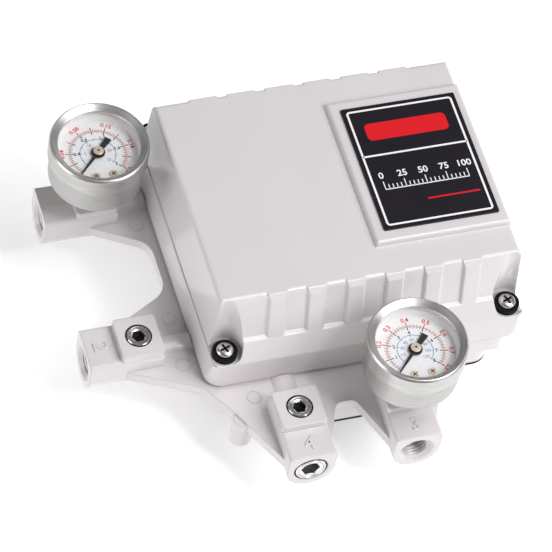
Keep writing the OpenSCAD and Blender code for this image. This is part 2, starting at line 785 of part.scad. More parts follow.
module base_housing() color([0.85, 0.84, 0.83]) difference() {
    union() {
        difference() {
            base_form();
            translate([0, 0, floor_z]) linear_extrude(z_seam) well(boss_r, 0);
        }
        for (p = bolt_spots) post(p, 0, gasket_t + bolt_depth + bolt_cap, bolt_boss_r);
        post([0, 0], gasket_t, bush_top - gasket_t, bush_d / 2 + bush_boss);
        post(lever_pivot, gasket_t, lever_z - gasket_t - seat_gap, pin_boss_r);
        post(beam_pivot, gasket_t, beam_z - gasket_t - seat_gap, pin_boss_r);
    }
    for (arm = ARMS) at_arm(arm) port_bores(arm[2]);
    for (p = PLUGGED) post(p, pad_z - plug_head_h, plug_l, plug_head_d / 2 + fit);
    for (p = bolt_spots) post(p, -over, gasket_t + bolt_depth + over, bolt_d / 2);
    for (p = screw_spots) post(p, z_seam - screw_bite - tap_room, z_seam, screw_d / 2 + fit);
    post([0, 0], -over, bush_top + 2 * over, bush_d / 2);
    post(lever_pivot, lever_z - pin_bite - tap_room, z_top, pivot_pin_d / 2 + fit);
    post(beam_pivot, beam_z - pin_bite - tap_room, z_top, beam_pin_d / 2 + fit);
    translate([0, 0, z_seam - seal_t]) linear_extrude(seal_t + over) difference() {
        well(boss_r, seal_in + seal_w + groove_room);
        well(boss_r, seal_in - groove_room);
    }
    for (p = pilot_screw_spots) post(p, floor_z - bolt_cap - tap_room, z_seam, screw_d / 2 + fit);
    translate([vent_x, tub_y + over, vent_z]) rotate([90, 0, 0])
        cylinder(tub_wall + 2 * over, vent_neck_r + fit, vent_neck_r + fit);
}

module rear_gasket() color([0.07, 0.07, 0.07]) linear_extrude(gasket_t) difference() {
    rear_outline();
    circle(bush_d / 2 + form_root);
    for (p = bolt_spots) translate(p) circle(bolt_boss_r + slack);
}

// Gauge pieces, drawn about the gauge's own axis from the back of its case
module at_gauge(spot) translate([spot[0], spot[1], gauge_z]) children();

module gauge_stem(spot) color([0.75, 0.62, 0.35]) at_gauge(spot) difference() {
    union() {
        translate([0, 0, -stem_h - stem_thread_l])
            cylinder(stem_thread_l + over, gauge_port_d / 2 - fit, gauge_port_d / 2 - fit);
        translate([0, 0, -stem_h]) cylinder(stem_h, stem_af / sqrt(3), stem_af / sqrt(3), $fn = 6);
        cylinder(low_plate_z, stem_boss_r, stem_boss_r);
        rotate(tube_start + block_w) translate([0, -block_w / 2, block_z]) {
            cube([tube_r + tube_w, block_w, low_plate_z - block_z]);
            translate([tube_r - touch, 0, 0]) cube([tube_w + touch, block_w, low_plate_z]);
        }
    }
    translate([0, 0, -stem_h - stem_thread_l - over])
        cylinder(stem_h + stem_thread_l + over + low_plate_z / 2, stem_bore_r, stem_bore_r);
}

module gauge_case(spot) color([0.72, 0.72, 0.73]) at_gauge(spot) rotate_extrude() difference() {
    soft_outline([[stem_boss_r + press_fit, 0, 0], [case_r, 0, case_edge_r],
        [case_r, lens_z, 0], [stem_boss_r + press_fit, lens_z, 0]]);
    soft_outline([[stem_boss_r, case_t, 0], [seat_r, case_t, case_edge_r - case_t],
        [seat_r, lens_z + over, 0], [stem_boss_r, lens_z + over, 0]]);
}

module gauge_bezel(spot) color([0.85, 0.85, 0.86]) at_gauge(spot) rotate_extrude()
    soft_outline([[case_r + press_fit, bezel_z, 0], [bezel_d / 2, bezel_z, bezel_wall / 3],
        [bezel_d / 2, gauge_h - bezel_crown, bezel_rim], [bezel_d / 2 - bezel_rim, gauge_h, bezel_rim / 2],
        [bezel_open_d / 2, gauge_h - bezel_fall, bezel_wall / 3],
        [bezel_open_d / 2, lens_z + lens_t, 0], [case_r + press_fit, lens_z + lens_t, 0]]);

module gauge_lens(spot) color([0.9, 0.95, 0.97, 0.3]) at_gauge(spot) translate([0, 0, lens_z])
    cylinder(lens_t, case_r - press_fit, case_r - press_fit);

module dial_screw_places() for (sx = [-1, 1]) translate([sx * dial_screw_x, dial_screw_y]) children();

module gauge_dial(spot) color([0.95, 0.95, 0.95]) at_gauge(spot) translate([0, 0, dial_z])
    linear_extrude(dial_t) difference() {
        circle(seat_r - dial_gap);
        circle(dial_eye_r);
        dial_screw_places() circle(dial_shank_r + fit);
    }

module dial_screws(spot) color([0.75, 0.6, 0.3]) at_gauge(spot) dial_screw_places() difference() {
    union() {
        translate([0, 0, dial_z + dial_t]) cylinder(dial_screw_h, dial_screw_r, dial_screw_r);
        translate([0, 0, dial_z - dial_bite])
            cylinder(dial_bite + dial_t + dial_screw_h / 2, dial_shank_r, dial_shank_r);
    }
    translate([-2 * dial_screw_r, -slot_w / 2, dial_z + dial_t + dial_screw_h / 2])
        cube([4 * dial_screw_r, slot_w, over]);
}

// Straight-flanked teeth: four points a tooth, a little thin for backlash
function tooth(a, r, step) = [for (c = [[-0.30, -1.25], [-0.12, 0.8], [0.12, 0.8], [0.30, -1.25]])
    let (q = a + c[0] * step, t = r + c[1] * gear_module) [t * cos(q), t * sin(q)]];

module pointer(spot) color([0.08, 0.08, 0.08]) at_gauge(spot) {
    pinion_step = 360 / pinion_teeth;
    translate([0, 0, low_plate_z + seat_gap]) cylinder(needle_z - low_plate_z, arbor_r, arbor_r);
    translate([0, 0, gear_z]) linear_extrude(gear_t) polygon([for (i = [0:pinion_teeth - 1])
        each tooth(90 + (i + 0.5) * pinion_step, pinion_r, pinion_step)]);
    translate([0, 0, needle_z]) linear_extrude(needle_t) rotate(90 + pointer_sweep / 2) {
        polygon([[pointer_l, needle_tip], [0, needle_waist], [-needle_tail[0], needle_tail[1]],
            [-needle_tail[0], -needle_tail[1]], [0, -needle_waist], [pointer_l, -needle_tip]]);
        circle(needle_disc_r);
    }
    translate([0, 0, needle_z]) cylinder(hub_h, hub_r, hub_r);
}

module sector(spot) color([0.78, 0.66, 0.36]) at_gauge(spot) translate([0, sector_y, gear_z + seat_gap])
    linear_extrude(gear_t - 2 * seat_gap) difference() {
        last = ceil(sector_sweep / sector_step) + spare_teeth;
        union() {
            polygon(concat([[0, sector_hub_r]], [for (i = [-last:spare_teeth])
                each tooth(-90 + i * sector_step, sector_r, sector_step)], [[sector_hub_r, 0]]));
            circle(sector_hub_r);
        }
        circle(sector_pin_r + fit);
    }

module movement(spot) color([0.78, 0.66, 0.36]) at_gauge(spot) difference() {
    union() {
        for (z = [low_plate_z, high_plate_z]) translate([0, 0, z]) cylinder(plate_t, movement_r, movement_r);
        dial_screw_places() translate([0, 0, low_plate_z]) cylinder(dial_z - low_plate_z, pillar_r, pillar_r);
        post([0, sector_y], low_plate_z, high_plate_z - low_plate_z, sector_pin_r);
    }
    translate([0, 0, low_plate_z - over]) cylinder(dial_z, arbor_r + fit, arbor_r + fit);
    dial_screw_places() translate([0, 0, dial_z - dial_bite - tap_room])
        cylinder(dial_bite + tap_room + over, dial_shank_r + fit, dial_shank_r + fit);
}

module bourdon_tube(spot) color([0.8, 0.6, 0.35]) at_gauge(spot) rotate(tube_start)
    rotate_extrude(angle = tube_arc) translate([tube_r, tube_z]) difference() {
        square([tube_w, tube_h]);
        translate([tube_skin, tube_skin]) square([tube_w - 2 * tube_skin, tube_h - 2 * tube_skin]);
    }

module signal_gauge_stem() gauge_stem(signal_spot);
module signal_gauge_case() gauge_case(signal_spot);
module signal_gauge_bezel() gauge_bezel(signal_spot);
module signal_gauge_lens() gauge_lens(signal_spot);
module signal_gauge_dial() gauge_dial(signal_spot);
module signal_dial_screws() dial_screws(signal_spot);
module signal_pointer() pointer(signal_spot);
module signal_bourdon_tube() bourdon_tube(signal_spot);
module signal_movement() movement(signal_spot);
module signal_sector() sector(signal_spot);
module output_gauge_stem() gauge_stem(output_spot);
module output_gauge_case() gauge_case(output_spot);
module output_gauge_bezel() gauge_bezel(output_spot);
module output_gauge_lens() gauge_lens(output_spot);
module output_gauge_dial() gauge_dial(output_spot);
module output_dial_screws() dial_screws(output_spot);
module output_pointer() pointer(output_spot);
module output_bourdon_tube() bourdon_tube(output_spot);
module output_movement() movement(output_spot);
module output_sector() sector(output_spot);

// Plugs in the two unused gauge ports and in the unused output port
module gauge_port_plugs() color([0.8, 0.8, 0.8]) for (p = PLUGGED)
    translate([p[0], p[1], pad_z + plug_proud]) difference() {
        union() {
            translate([0, 0, -plug_l])
                cylinder(plug_l - plug_head_h, gauge_port_d / 2 - fit, gauge_port_d / 2 - fit);
            translate([0, 0, -plug_head_h - plug_proud])
                cylinder(plug_head_h + plug_proud, plug_head_d / 2, plug_head_d / 2);
        }
        hex_hole(plug_hex, plug_hex_depth);
    }
module output_port_plug() color([0.8, 0.8, 0.8]) translate([output2_x, arm_tip_y, port_z])
    rotate([90, 0, 0]) difference() {
        union() {
            translate([0, 0, -port_plug_l]) cylinder(port_plug_l, port_d / 2 - fit, port_d / 2 - fit);
            translate([0, 0, -mouth_depth / 2])
                cylinder(mouth_depth / 2, port_d / 2 + port_plug_rim, port_d / 2 + port_plug_rim);
        }
        hex_hole(port_plug_hex, port_plug_hex_depth);
    }

// Feedback shaft, its bearings and the cam
module feedback_shaft() color([0.7, 0.7, 0.72]) difference() {
    union() {
        translate([0, 0, -shaft_out]) intersection() {
            cylinder(tang_l + over, journal_d / 2, journal_d / 2);
            translate([-tang_af / 2, -shaft_d, -over]) cube([tang_af, 2 * shaft_d, tang_l + 3 * over]);
        }
        translate([0, 0, tang_l - shaft_out])
            cylinder(shaft_out - tang_l - collar_l + over, shaft_d / 2, shaft_d / 2);
        translate([0, 0, -collar_l])
            cylinder(collar_l + gasket_t - slack, shaft_d / 2 + collar_rim, shaft_d / 2 + collar_rim);
        cylinder(cam_z, journal_d / 2, journal_d / 2);
        translate([0, 0, cam_z - over])
            cylinder(cam_t + nut_h + 2 * over, cam_seat_d / 2, cam_seat_d / 2);
    }
    sleeve(ring_z, ring_t + seat_gap, shaft_d, journal_d / 2 - ring_groove);
}
module shaft_seal() color([0.1, 0.1, 0.1])
    sleeve(gasket_t, seal_h, bush_d / 2 - fit / 2, journal_d / 2 + fit);
module shaft_bushes() color([0.7, 0.55, 0.3]) for (i = [0, 1])
    sleeve(gasket_t + seal_h + bush_gap + i * (bush_h + bush_gap), bush_h,
        bush_d / 2 - fit / 2, journal_d / 2 + fit);
module shaft_retaining_ring() color([0.3, 0.3, 0.32]) translate([0, 0, ring_z + seat_gap / 2])
    linear_extrude(ring_t) difference() {
        circle(journal_d / 2 + ring_rim);
        circle(journal_d / 2 - ring_groove + fit);
        translate([-ring_rim, 0]) square([2 * ring_rim, shaft_d]);
    }

// The cam's working edge: the roller's path seen from the turning cam, set in by the roller's radius
function roller_path(a) = turned(lever_pivot + turned(roller_rest - lever_pivot, lever_ratio * a), -a);
function cam_edge(a) = let (t = unit(roller_path(a + 0.5) - roller_path(a - 0.5)))
    roller_path(a) + [t[1], -t[0]] * (roller_d / 2 + slack);
cam_reach = shaft_turn + cam_margin;
module feedback_cam() color([0.78, 0.78, 0.8]) translate([0, 0, cam_z]) linear_extrude(cam_t) difference() {
    union() {
        polygon(concat([[0, 0]], [for (a = [cam_reach:-cam_step:-cam_reach]) cam_edge(a)]));
        circle(cam_hub_r);
    }
    circle(cam_seat_d / 2 + fit);
    for (a = [-1, 0, 1]) rotate(atan2(roller_rest[1], roller_rest[0]) + a * shaft_turn / 2)
        translate([cam_hub_r + 2 * cam_hole_r, 0]) circle(cam_hole_r);
}
module cam_nut() color([0.75, 0.75, 0.76]) translate([0, 0, cam_z + cam_t]) difference() {
    cylinder(nut_h, nut_af / sqrt(3), nut_af / sqrt(3), $fn = 6);
    translate([0, 0, -over]) cylinder(nut_h + 2 * over, cam_seat_d / 2 + fit, cam_seat_d / 2 + fit);
}

// Follower lever with the roller's axle and the feedback spring's post
module feedback_lever() color([0.75, 0.75, 0.77]) {
    way = unit(spring_post - lever_pivot);
    side = [-way[1], way[0]];
    difference() {
        translate([0, 0, lever_z]) linear_extrude(lever_t) {
            translate(lever_pivot) circle(lever_hub_r);
            translate(roller_rest) circle(lever_eye_r);
            translate(spring_post) circle(lever_end_r);
            polygon([lever_pivot + side * lever_root, lever_pivot - side * lever_root,
                spring_post - side * lever_tip, spring_post + side * lever_tip]);
        }
        post(lever_pivot, 0, z_top, pivot_pin_d / 2 + fit);
        for (i = [0:2])
            post(lever_pivot + way * (lever_hole_from + i * lever_hole_step), 0, z_top, lever_hole_r);
    }
    post(roller_rest, roller_z - slack, lever_z - roller_z + over, axle_r);
    post(spring_post, lever_z + over, force_z + spring_r - lever_z, axle_r);
}
module pivot_pin(spot, z, grip, d) {
    post(spot, z - pin_bite, pin_bite + grip + over, d / 2);
    post(spot, z + grip + seat_gap, pin_head_h, d / 2 + pin_rim);
}
module lever_pivot_pin() color([0.6, 0.6, 0.62]) pivot_pin(lever_pivot, lever_z, lever_t, pivot_pin_d);
module cam_roller() color([0.5, 0.5, 0.52]) translate(roller_rest)
    sleeve(roller_z, roller_h, roller_d / 2, axle_r + fit);

module feedback_spring() color([0.65, 0.65, 0.67]) translate([spring_post[0], beam_rear + slack, force_z])
    rotate([-90, 0, 0]) coil(spring_post[1] - axle_r - beam_rear - 2 * slack, spring_r, wire_r, 9);

// Balance beam on its pin
module balance_beam() color([0.75, 0.75, 0.77]) difference() {
    union() {
        translate([0, beam_y, 0]) along_y(beam_t) soft_outline([[beam_left, beam_z, beam_edge_r],
            [beam_right, beam_z, beam_edge_r], [beam_right, beam_z + beam_h, beam_edge_r],
            [beam_left, beam_z + beam_h, beam_edge_r]]);
        post(beam_pivot, beam_z, beam_h, beam_pin_d);
    }
    post(beam_pivot, 0, z_top, beam_pin_d / 2 + fit);
    for (x = beam_holes) translate([x, beam_y, force_z]) rotate([90, 0, 0])
        cylinder(2 * beam_t, beam_hole_r, beam_hole_r, center = true);
}
module beam_pivot_pin() color([0.6, 0.6, 0.62]) pivot_pin(beam_pivot, beam_z, beam_h, beam_pin_d);

// Signal bellows: an end flange at the bracket, rounded folds and a push rod to the beam
module signal_bellows() color([0.78, 0.65, 0.35]) translate([bellows_x, bellows_back, force_z])
    rotate([90, 0, 0]) {
        fold_h = (bellows_l - flange_h - end_plate_h) / folds;
        root_r = bellows_d / 2 - fold_h / 2;
        cylinder(flange_h, bellows_d / 2, bellows_d / 2);
        translate([0, 0, flange_h - press_fit]) cylinder(bellows_l - flange_h, root_r, root_r);
        for (i = [0:folds - 1]) translate([0, 0, flange_h + (i + 0.5) * fold_h]) rotate_extrude()
            translate([root_r, 0]) circle(fold_h / 2 - press_fit);
        translate([0, 0, bellows_l - end_plate_h]) cylinder(end_plate_h, root_r + slack, root_r + slack);
        translate([0, 0, bellows_l - over])
            cylinder(bellows_back - beam_rear - bellows_l + over - touch, rod_r, rod_r);
    }
module bellows_bracket() color([0.7, 0.7, 0.72]) {
    half = bellows_d / 2 + over;
    translate([bellows_x, bellows_back + bracket_t / 2, 0]) along_y(bracket_t)
        soft_outline(both_sides([[half, floor_z, 0], [half, force_z + bellows_d / 2, bracket_r]]));
    translate([bellows_x - half, bellows_back, floor_z]) cube([2 * half, bracket_foot, bracket_t]);
}

// Nozzle on its post, facing the beam
module nozzle() color([0.76, 0.64, 0.36]) translate([nozzle_x, nozzle_y, 0]) {
    reach = beam_front - nozzle_y - nozzle_gap;
    translate([-post_w / 2, -post_w / 2, floor_z]) cube([post_w, post_w, force_z + post_rise - floor_z]);
    translate([0, 0, force_z]) rotate([-90, 0, 0]) difference() {
        union() {
            cylinder(reach - nozzle_tip_l, nozzle_r, nozzle_r);
            translate([0, 0, reach - nozzle_tip_l]) cylinder(nozzle_tip_l, nozzle_r, nozzle_tip_r);
        }
        translate([0, 0, post_w]) cylinder(reach, nozzle_bore_r, nozzle_bore_r);
    }
}

// Zero adjuster: a knurled screw in a bracket that sets a spring on the beam
module zero_bracket() color([0.7, 0.7, 0.72]) difference() {
    union() {
        translate([zero_x, zero_y, 0]) along_y(zero_t) soft_outline(both_sides([[zero_half, floor_z, 0],
            [zero_half, force_z + zero_half, zero_half - over]]));
        translate([zero_x - zero_half, zero_y - zero_foot, floor_z])
            cube([2 * zero_half, zero_foot + zero_t / 2, zero_foot_t]);
    }
    translate([zero_x, zero_y, force_z]) rotate([90, 0, 0])
        cylinder(2 * zero_t, zero_screw_d / 2 + fit, zero_screw_d / 2 + fit, center = true);
}
module zero_knob() color([0.15, 0.15, 0.16]) translate([zero_x, zero_y, force_z]) rotate([90, 0, 0]) {
    translate([0, 0, -zero_reach]) cylinder(zero_reach + zero_thread, zero_screw_d / 2, zero_screw_d / 2);
    translate([0, 0, zero_t / 2 + slack]) difference() {
        cylinder(knob_h, knob_d / 2, knob_d / 2);
        for (a = [0:20:340]) rotate(a) translate([knob_d / 2 + knob_flute_out, 0, -over])
            cylinder(knob_h + 2 * over, knob_flute_r, knob_flute_r);
        translate([-knob_d, -knob_slot / 2, knob_h - knob_slot]) cube([2 * knob_d, knob_slot, 2 * over]);
    }
}
module zero_spring() color([0.65, 0.65, 0.67]) translate([zero_x, zero_tip_y + slack, force_z])
    rotate([-90, 0, 0]) coil(beam_front - zero_tip_y - 2 * slack - touch, spring_r, wire_r, 7);

// Pilot valve: a bored block with a spool, end caps, screws and the auto or manual screw
module pilot_valve_body() color([0.8, 0.8, 0.82]) difference() {
    translate([(pilot_x0 + pilot_x1) / 2, pilot_y, floor_z]) linear_extrude(pilot_h)
        soft_rectangle((pilot_x1 - pilot_x0) / 2, pilot_d / 2, pilot_r);
    translate([pilot_x0 - over, pilot_y, spool_z]) rotate([0, 90, 0])
        cylinder(pilot_x1 - pilot_x0 + 2 * over, spool_d / 2, spool_d / 2);
    for (p = pilot_screw_spots) post(p, 0, z_top, screw_d / 2 + fit);
    post(manual_spot, spool_z + spool_d / 2 + over - seat_gap, pilot_h, manual_r + fit);
}
module pilot_valve_caps() color([0.7, 0.7, 0.72]) for (x = [pilot_x0 - cap_t, pilot_x1])
    translate([x, pilot_y, spool_z]) rotate([0, 90, 0])
        cylinder(cap_t, spool_d / 2 + cap_rim, spool_d / 2 + cap_rim);
module pilot_valve_spool() color([0.6, 0.6, 0.63])
    translate([pilot_x0 + spool_stroke + over, pilot_y, spool_z]) rotate([0, 90, 0]) {
        l = pilot_x1 - pilot_x0 - 2 * (spool_stroke + over);
        cylinder(l, spool_d / 2 - spool_neck, spool_d / 2 - spool_neck);
        for (i = [0:spool_lands - 1]) translate([0, 0, i * (l - spool_land) / (spool_lands - 1)])
            cylinder(spool_land, spool_d / 2 - fit, spool_d / 2 - fit);
    }
module pilot_valve_screws() color([0.25, 0.25, 0.27]) for (p = pilot_screw_spots)
    translate([p[0], p[1], pilot_top]) difference() {
        union() {
            cylinder(pilot_head_h, pilot_head_r, pilot_head_r);
            translate([0, 0, -pilot_h - bolt_cap])
                cylinder(pilot_h + bolt_cap + over, screw_d / 2, screw_d / 2);
        }
        translate([0, 0, pilot_head_h]) hex_hole(pilot_hex, pilot_head_h / 2);
    }
module auto_manual_screw() color([0.75, 0.62, 0.35]) translate([manual_spot[0], manual_spot[1], pilot_top])
    difference() {
        shank_z = spool_z + spool_d / 2 + over - pilot_top;
        union() {
            translate([0, 0, seat_gap]) cylinder(manual_head_h, manual_head_r, manual_head_r);
            translate([0, 0, shank_z]) cylinder(over - shank_z, manual_r, manual_r);
        }
        translate([-manual_head_r - over, -manual_slot / 2, manual_head_h - over])
            cube([2 * (manual_head_r + over), manual_slot, 2 * over]);
    }

// Inner tubes: signal to bellows, pilot to nozzle, and ports to pilot
module signal_tube() color([0.75, 0.5, 0.3]) {
    inlet_y = bellows_back - flange_h / 2;
    bent_bar([[-well_x, signal_y, port_z], [-well_x + pipe_off, signal_y, port_z],
        [-well_x + pipe_off, inlet_y, force_z], [bellows_x - bellows_d / 2, inlet_y, force_z]],
        thin_pipe_r, pipe_bend);
}
module nozzle_tube() color([0.75, 0.5, 0.3]) bar([nozzle_x, pilot_y + pilot_d / 2, spool_z],
    [nozzle_x, nozzle_y - post_w / 2, spool_z], thin_pipe_r);
module port_tubes() color([0.75, 0.5, 0.3]) {
    bar([-well_x, supply_y, port_z], [pilot_x0, supply_y, port_z], pipe_d / 2);
    for (x = [output1_x, output2_x])
        bar([x, -well_y, port_z], [x, pilot_y - pilot_d / 2, port_z], pipe_d / 2);
}

module exhaust_vent() color([0.3, 0.3, 0.32]) translate([vent_x, tub_y, vent_z]) rotate([-90, 0, 0])
    difference() {
        union() {
            translate([0, 0, -tub_wall]) cylinder(tub_wall + over, vent_neck_r, vent_neck_r);
            cylinder(vent_h, vent_d / 2, vent_d / 2);
        }
        for (a = [0:60:300]) rotate(a) translate([vent_ring_r, 0, over])
            cylinder(vent_h, vent_hole_r, vent_hole_r);
    }

base_housing();
rear_gasket();
front_cover();
cover_seal();
cover_screws();
cover_screw_washers();
cover_nameplate();
signal_gauge_stem();
signal_gauge_case();
signal_gauge_bezel();
signal_gauge_lens();
signal_gauge_dial();
signal_dial_screws();
signal_pointer();
signal_bourdon_tube();
signal_movement();
signal_sector();
output_gauge_stem();
output_gauge_case();
output_gauge_bezel();
output_gauge_lens();
output_gauge_dial();
output_dial_screws();
output_pointer();
output_bourdon_tube();
output_movement();
output_sector();
gauge_port_plugs();
output_port_plug();
feedback_shaft();
shaft_bushes();
shaft_seal();
shaft_retaining_ring();
feedback_cam();
cam_nut();
feedback_lever();
lever_pivot_pin();
cam_roller();
feedback_spring();
balance_beam();
beam_pivot_pin();
signal_bellows();
bellows_bracket();
nozzle();
zero_knob();
zero_bracket();
zero_spring();
pilot_valve_body();
pilot_valve_caps();
pilot_valve_spool();
pilot_valve_screws();
auto_manual_screw();
signal_tube();
nozzle_tube();
port_tubes();
exhaust_vent();
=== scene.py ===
"""Looks of a pneumatic valve positioner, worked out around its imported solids."""

import json
import math

import bmesh
import bpy
import numpy as np
from mathutils import Matrix, Vector


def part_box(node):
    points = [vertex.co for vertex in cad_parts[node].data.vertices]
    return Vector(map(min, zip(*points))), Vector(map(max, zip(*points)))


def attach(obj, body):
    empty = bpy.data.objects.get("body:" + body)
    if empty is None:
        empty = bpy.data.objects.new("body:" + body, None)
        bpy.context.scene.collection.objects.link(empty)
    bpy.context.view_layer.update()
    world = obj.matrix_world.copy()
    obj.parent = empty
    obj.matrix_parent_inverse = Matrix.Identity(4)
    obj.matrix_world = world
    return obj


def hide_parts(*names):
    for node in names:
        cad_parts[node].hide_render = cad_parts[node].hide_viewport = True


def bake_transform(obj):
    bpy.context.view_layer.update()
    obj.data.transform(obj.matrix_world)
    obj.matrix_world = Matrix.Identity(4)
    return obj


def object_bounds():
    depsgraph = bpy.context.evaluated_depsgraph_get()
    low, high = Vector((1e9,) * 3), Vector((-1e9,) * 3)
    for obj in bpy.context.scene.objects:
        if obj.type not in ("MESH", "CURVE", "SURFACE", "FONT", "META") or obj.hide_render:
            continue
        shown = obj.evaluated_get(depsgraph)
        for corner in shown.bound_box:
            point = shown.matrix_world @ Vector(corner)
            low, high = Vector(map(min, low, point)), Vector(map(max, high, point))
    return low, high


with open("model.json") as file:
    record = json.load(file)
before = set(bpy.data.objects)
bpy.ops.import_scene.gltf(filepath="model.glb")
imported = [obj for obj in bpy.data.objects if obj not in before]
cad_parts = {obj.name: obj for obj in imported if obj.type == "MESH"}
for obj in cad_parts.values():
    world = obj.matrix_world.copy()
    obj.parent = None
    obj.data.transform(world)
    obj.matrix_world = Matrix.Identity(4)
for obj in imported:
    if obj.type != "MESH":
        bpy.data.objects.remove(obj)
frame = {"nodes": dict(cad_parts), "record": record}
CAD_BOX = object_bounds()
NODES = frame["nodes"]
SLOTS = {row["node"]: row["material_slot"] for row in frame["record"]["subparts"]}
PORTS = {row["name"]: row for row in frame["record"]["mounts"] if row["name"].endswith("_port")}

bl_info = {
    "name": "Valve positioner looks",
    "version": (1, 0, 0),
    "blender": (4, 5, 0),
    "location": "View3D > Sidebar > Positioner",
    "description": "Finishes, print, threads and studio for a packed valve positioner",
    "category": "Object",
}

MM = 0.001
GAUGES = ("signal", "output")
UP = (0, 0, 1)
FRONT = (0, -1, 0)

# Points round a thread, a plug or a ring line.
ROUND = 72

# Radius in metres past which a turned piece gets painted shade on its wall, for a piece that has no such
# wall: past every piece.
NO_WALL = 1

# Direction of a gauge's zero, and how far its pointer sweeps from there, in degrees.
ZERO = 225
SWEEP = 270

# How many main steps and numbers each gauge has along its sweep, and the full reading of its three scales.
DIALS = {
    "signal": {"steps": 10, "labels": 5, "black": 2, "red": 0.2, "blue": 25},
    "output": {"steps": 8, "labels": 8, "black": 8, "red": 0.8, "blue": 120},
}

# Fine steps in each main step of a dial.
FINE_STEPS = 5

# Millimetres. A row of marks gives its inner and outer end, from the scale's ring line, and its width. The
# numbers have their own distance from that line and their own height.
SCALES = {
    "red": {"line": 0.16, "fine": (0, 0.9, 0.15), "main": (0, 1.8, 0.40), "out": 3.1, "height": 1.9},
    "black": {"line": 0.14, "fine": (-0.9, 0, 0.15), "main": (-1.5, 0, 0.42), "out": -2.7, "height": 1.6},
    "blue": {"line": 0.34, "main": (-0.9, 0.3, 0.3), "out": -2.2, "height": 1.35},
}

# Places of the ejector marks on the web, in millimetres from the origin.
EJECTORS = ((-76, 23), (-75, -26), (-75.6, -49.5), (-51, -71))


class FinishSettings(bpy.types.PropertyGroup):
    """Colours and finish of the castings and their fittings."""

    paint: bpy.props.FloatVectorProperty(
        name="Paint", description="Light grey paint of the castings", subtype="COLOR",
        default=(0.690, 0.655, 0.668), min=0, max=1)
    edge: bpy.props.FloatProperty(
        name="Cast edge", description="Radius of the softened edges of the castings", unit="LENGTH",
        default=0.8 * MM, min=0.05 * MM, max=2 * MM)
    # Also the colour of the dark ring round each plug, which is painted shade of the gap between plug and
    # pad.
    rubber: bpy.props.FloatVectorProperty(
        name="Rubber", description="Gaskets, seals and washers", subtype="COLOR",
        default=(0.004, 0.004, 0.0045), min=0, max=1)
    plastic: bpy.props.FloatVectorProperty(
        name="Plastic", description="Zero knob and exhaust vent", subtype="COLOR",
        default=(0.030, 0.030, 0.032), min=0, max=1)
    # Painted shade put in the key sockets and in the screw recesses.
    shadow: bpy.props.FloatVectorProperty(
        name="Shadow", description="Floors of the key sockets and screw recesses", subtype="COLOR",
        default=(0.004, 0.004, 0.004), min=0, max=1)
    steel: bpy.props.FloatVectorProperty(
        name="Steel", description="Gauge cases, plugs, screws, pins and springs", subtype="COLOR",
        default=(0.640, 0.635, 0.625), min=0, max=1)
    # Past this radius the bezel's side is painted darker: painted shade.
    bezel_edge: bpy.props.FloatProperty(
        name="Bezel edge", description="Radius where a bezel's bright face meets its brushed wall",
        unit="LENGTH", default=20.6 * MM, min=18 * MM, max=24 * MM)
    aluminium: bpy.props.FloatVectorProperty(
        name="Aluminium", description="Cam, lever, beam and pilot valve body", subtype="COLOR",
        default=(0.70, 0.71, 0.73), min=0, max=1)
    tapped: bpy.props.FloatVectorProperty(
        name="Tapped aluminium", description="Cut metal of the port threads", subtype="COLOR",
        default=(0.66, 0.65, 0.65), min=0, max=1)
    brass: bpy.props.FloatVectorProperty(
        name="Brass", description="Gauge stems, movements and tubes, bushes and bellows", subtype="COLOR",
        default=(0.760, 0.600, 0.360), min=0, max=1)
    pale_brass: bpy.props.FloatVectorProperty(
        name="Pale brass", description="Plated pointer hubs and dial screws", subtype="COLOR",
        default=(0.800, 0.680, 0.560), min=0, max=1)
    copper: bpy.props.FloatVectorProperty(
        name="Copper", description="Inner air tubes", subtype="COLOR",
        default=(0.66, 0.34, 0.20), min=0, max=1)


class PortSettings(bpy.types.PropertyGroup):
    """Sizes of the port threads, the arms' numbers, the plugs, the cover screws and the feedback spring."""

    pitch: bpy.props.FloatProperty(
        name="Pitch", description="Distance from thread to thread", unit="LENGTH",
        default=1.41 * MM, min=0.7 * MM, max=2.5 * MM)
    gap: bpy.props.FloatProperty(
        name="Gap", description="Distance kept from the bore's wall and floor", unit="LENGTH",
        default=0.03 * MM, min=0.01 * MM, max=0.2 * MM)
    label_in: bpy.props.FloatProperty(
        name="Label in", description="From a thread's mouth to the middle of the arm's number",
        unit="LENGTH", default=5.2 * MM, min=3 * MM, max=8 * MM)
    small_key: bpy.props.FloatProperty(
        name="Small key", description="Width across flats of the gauge plugs' key", unit="LENGTH",
        default=5 * MM, min=3 * MM, max=6 * MM)
    large_key: bpy.props.FloatProperty(
        name="Large key", description="Width across flats of the port plug's key", unit="LENGTH",
        default=7 * MM, min=4 * MM, max=8 * MM)
    small_head: bpy.props.FloatProperty(
        name="Small head", description="Height of a gauge plug's head", unit="LENGTH",
        default=2 * MM, min=1 * MM, max=3 * MM)
    large_head: bpy.props.FloatProperty(
        name="Large head", description="Height of the port plug's rim", unit="LENGTH",
        default=0.8 * MM, min=0.5 * MM, max=2 * MM)
    screw_head: bpy.props.FloatProperty(
        name="Screw head", description="Radius of a cover screw's head", unit="LENGTH",
        default=3.8 * MM, min=3 * MM, max=5 * MM)
    wire: bpy.props.FloatProperty(
        name="Wire", description="Radius of the feedback spring's wire", unit="LENGTH",
        default=0.5 * MM, min=0.2 * MM, max=0.8 * MM)
    spring_turns: bpy.props.IntProperty(
        name="Spring turns", description="Turns of the feedback spring", default=6, min=4, max=9)


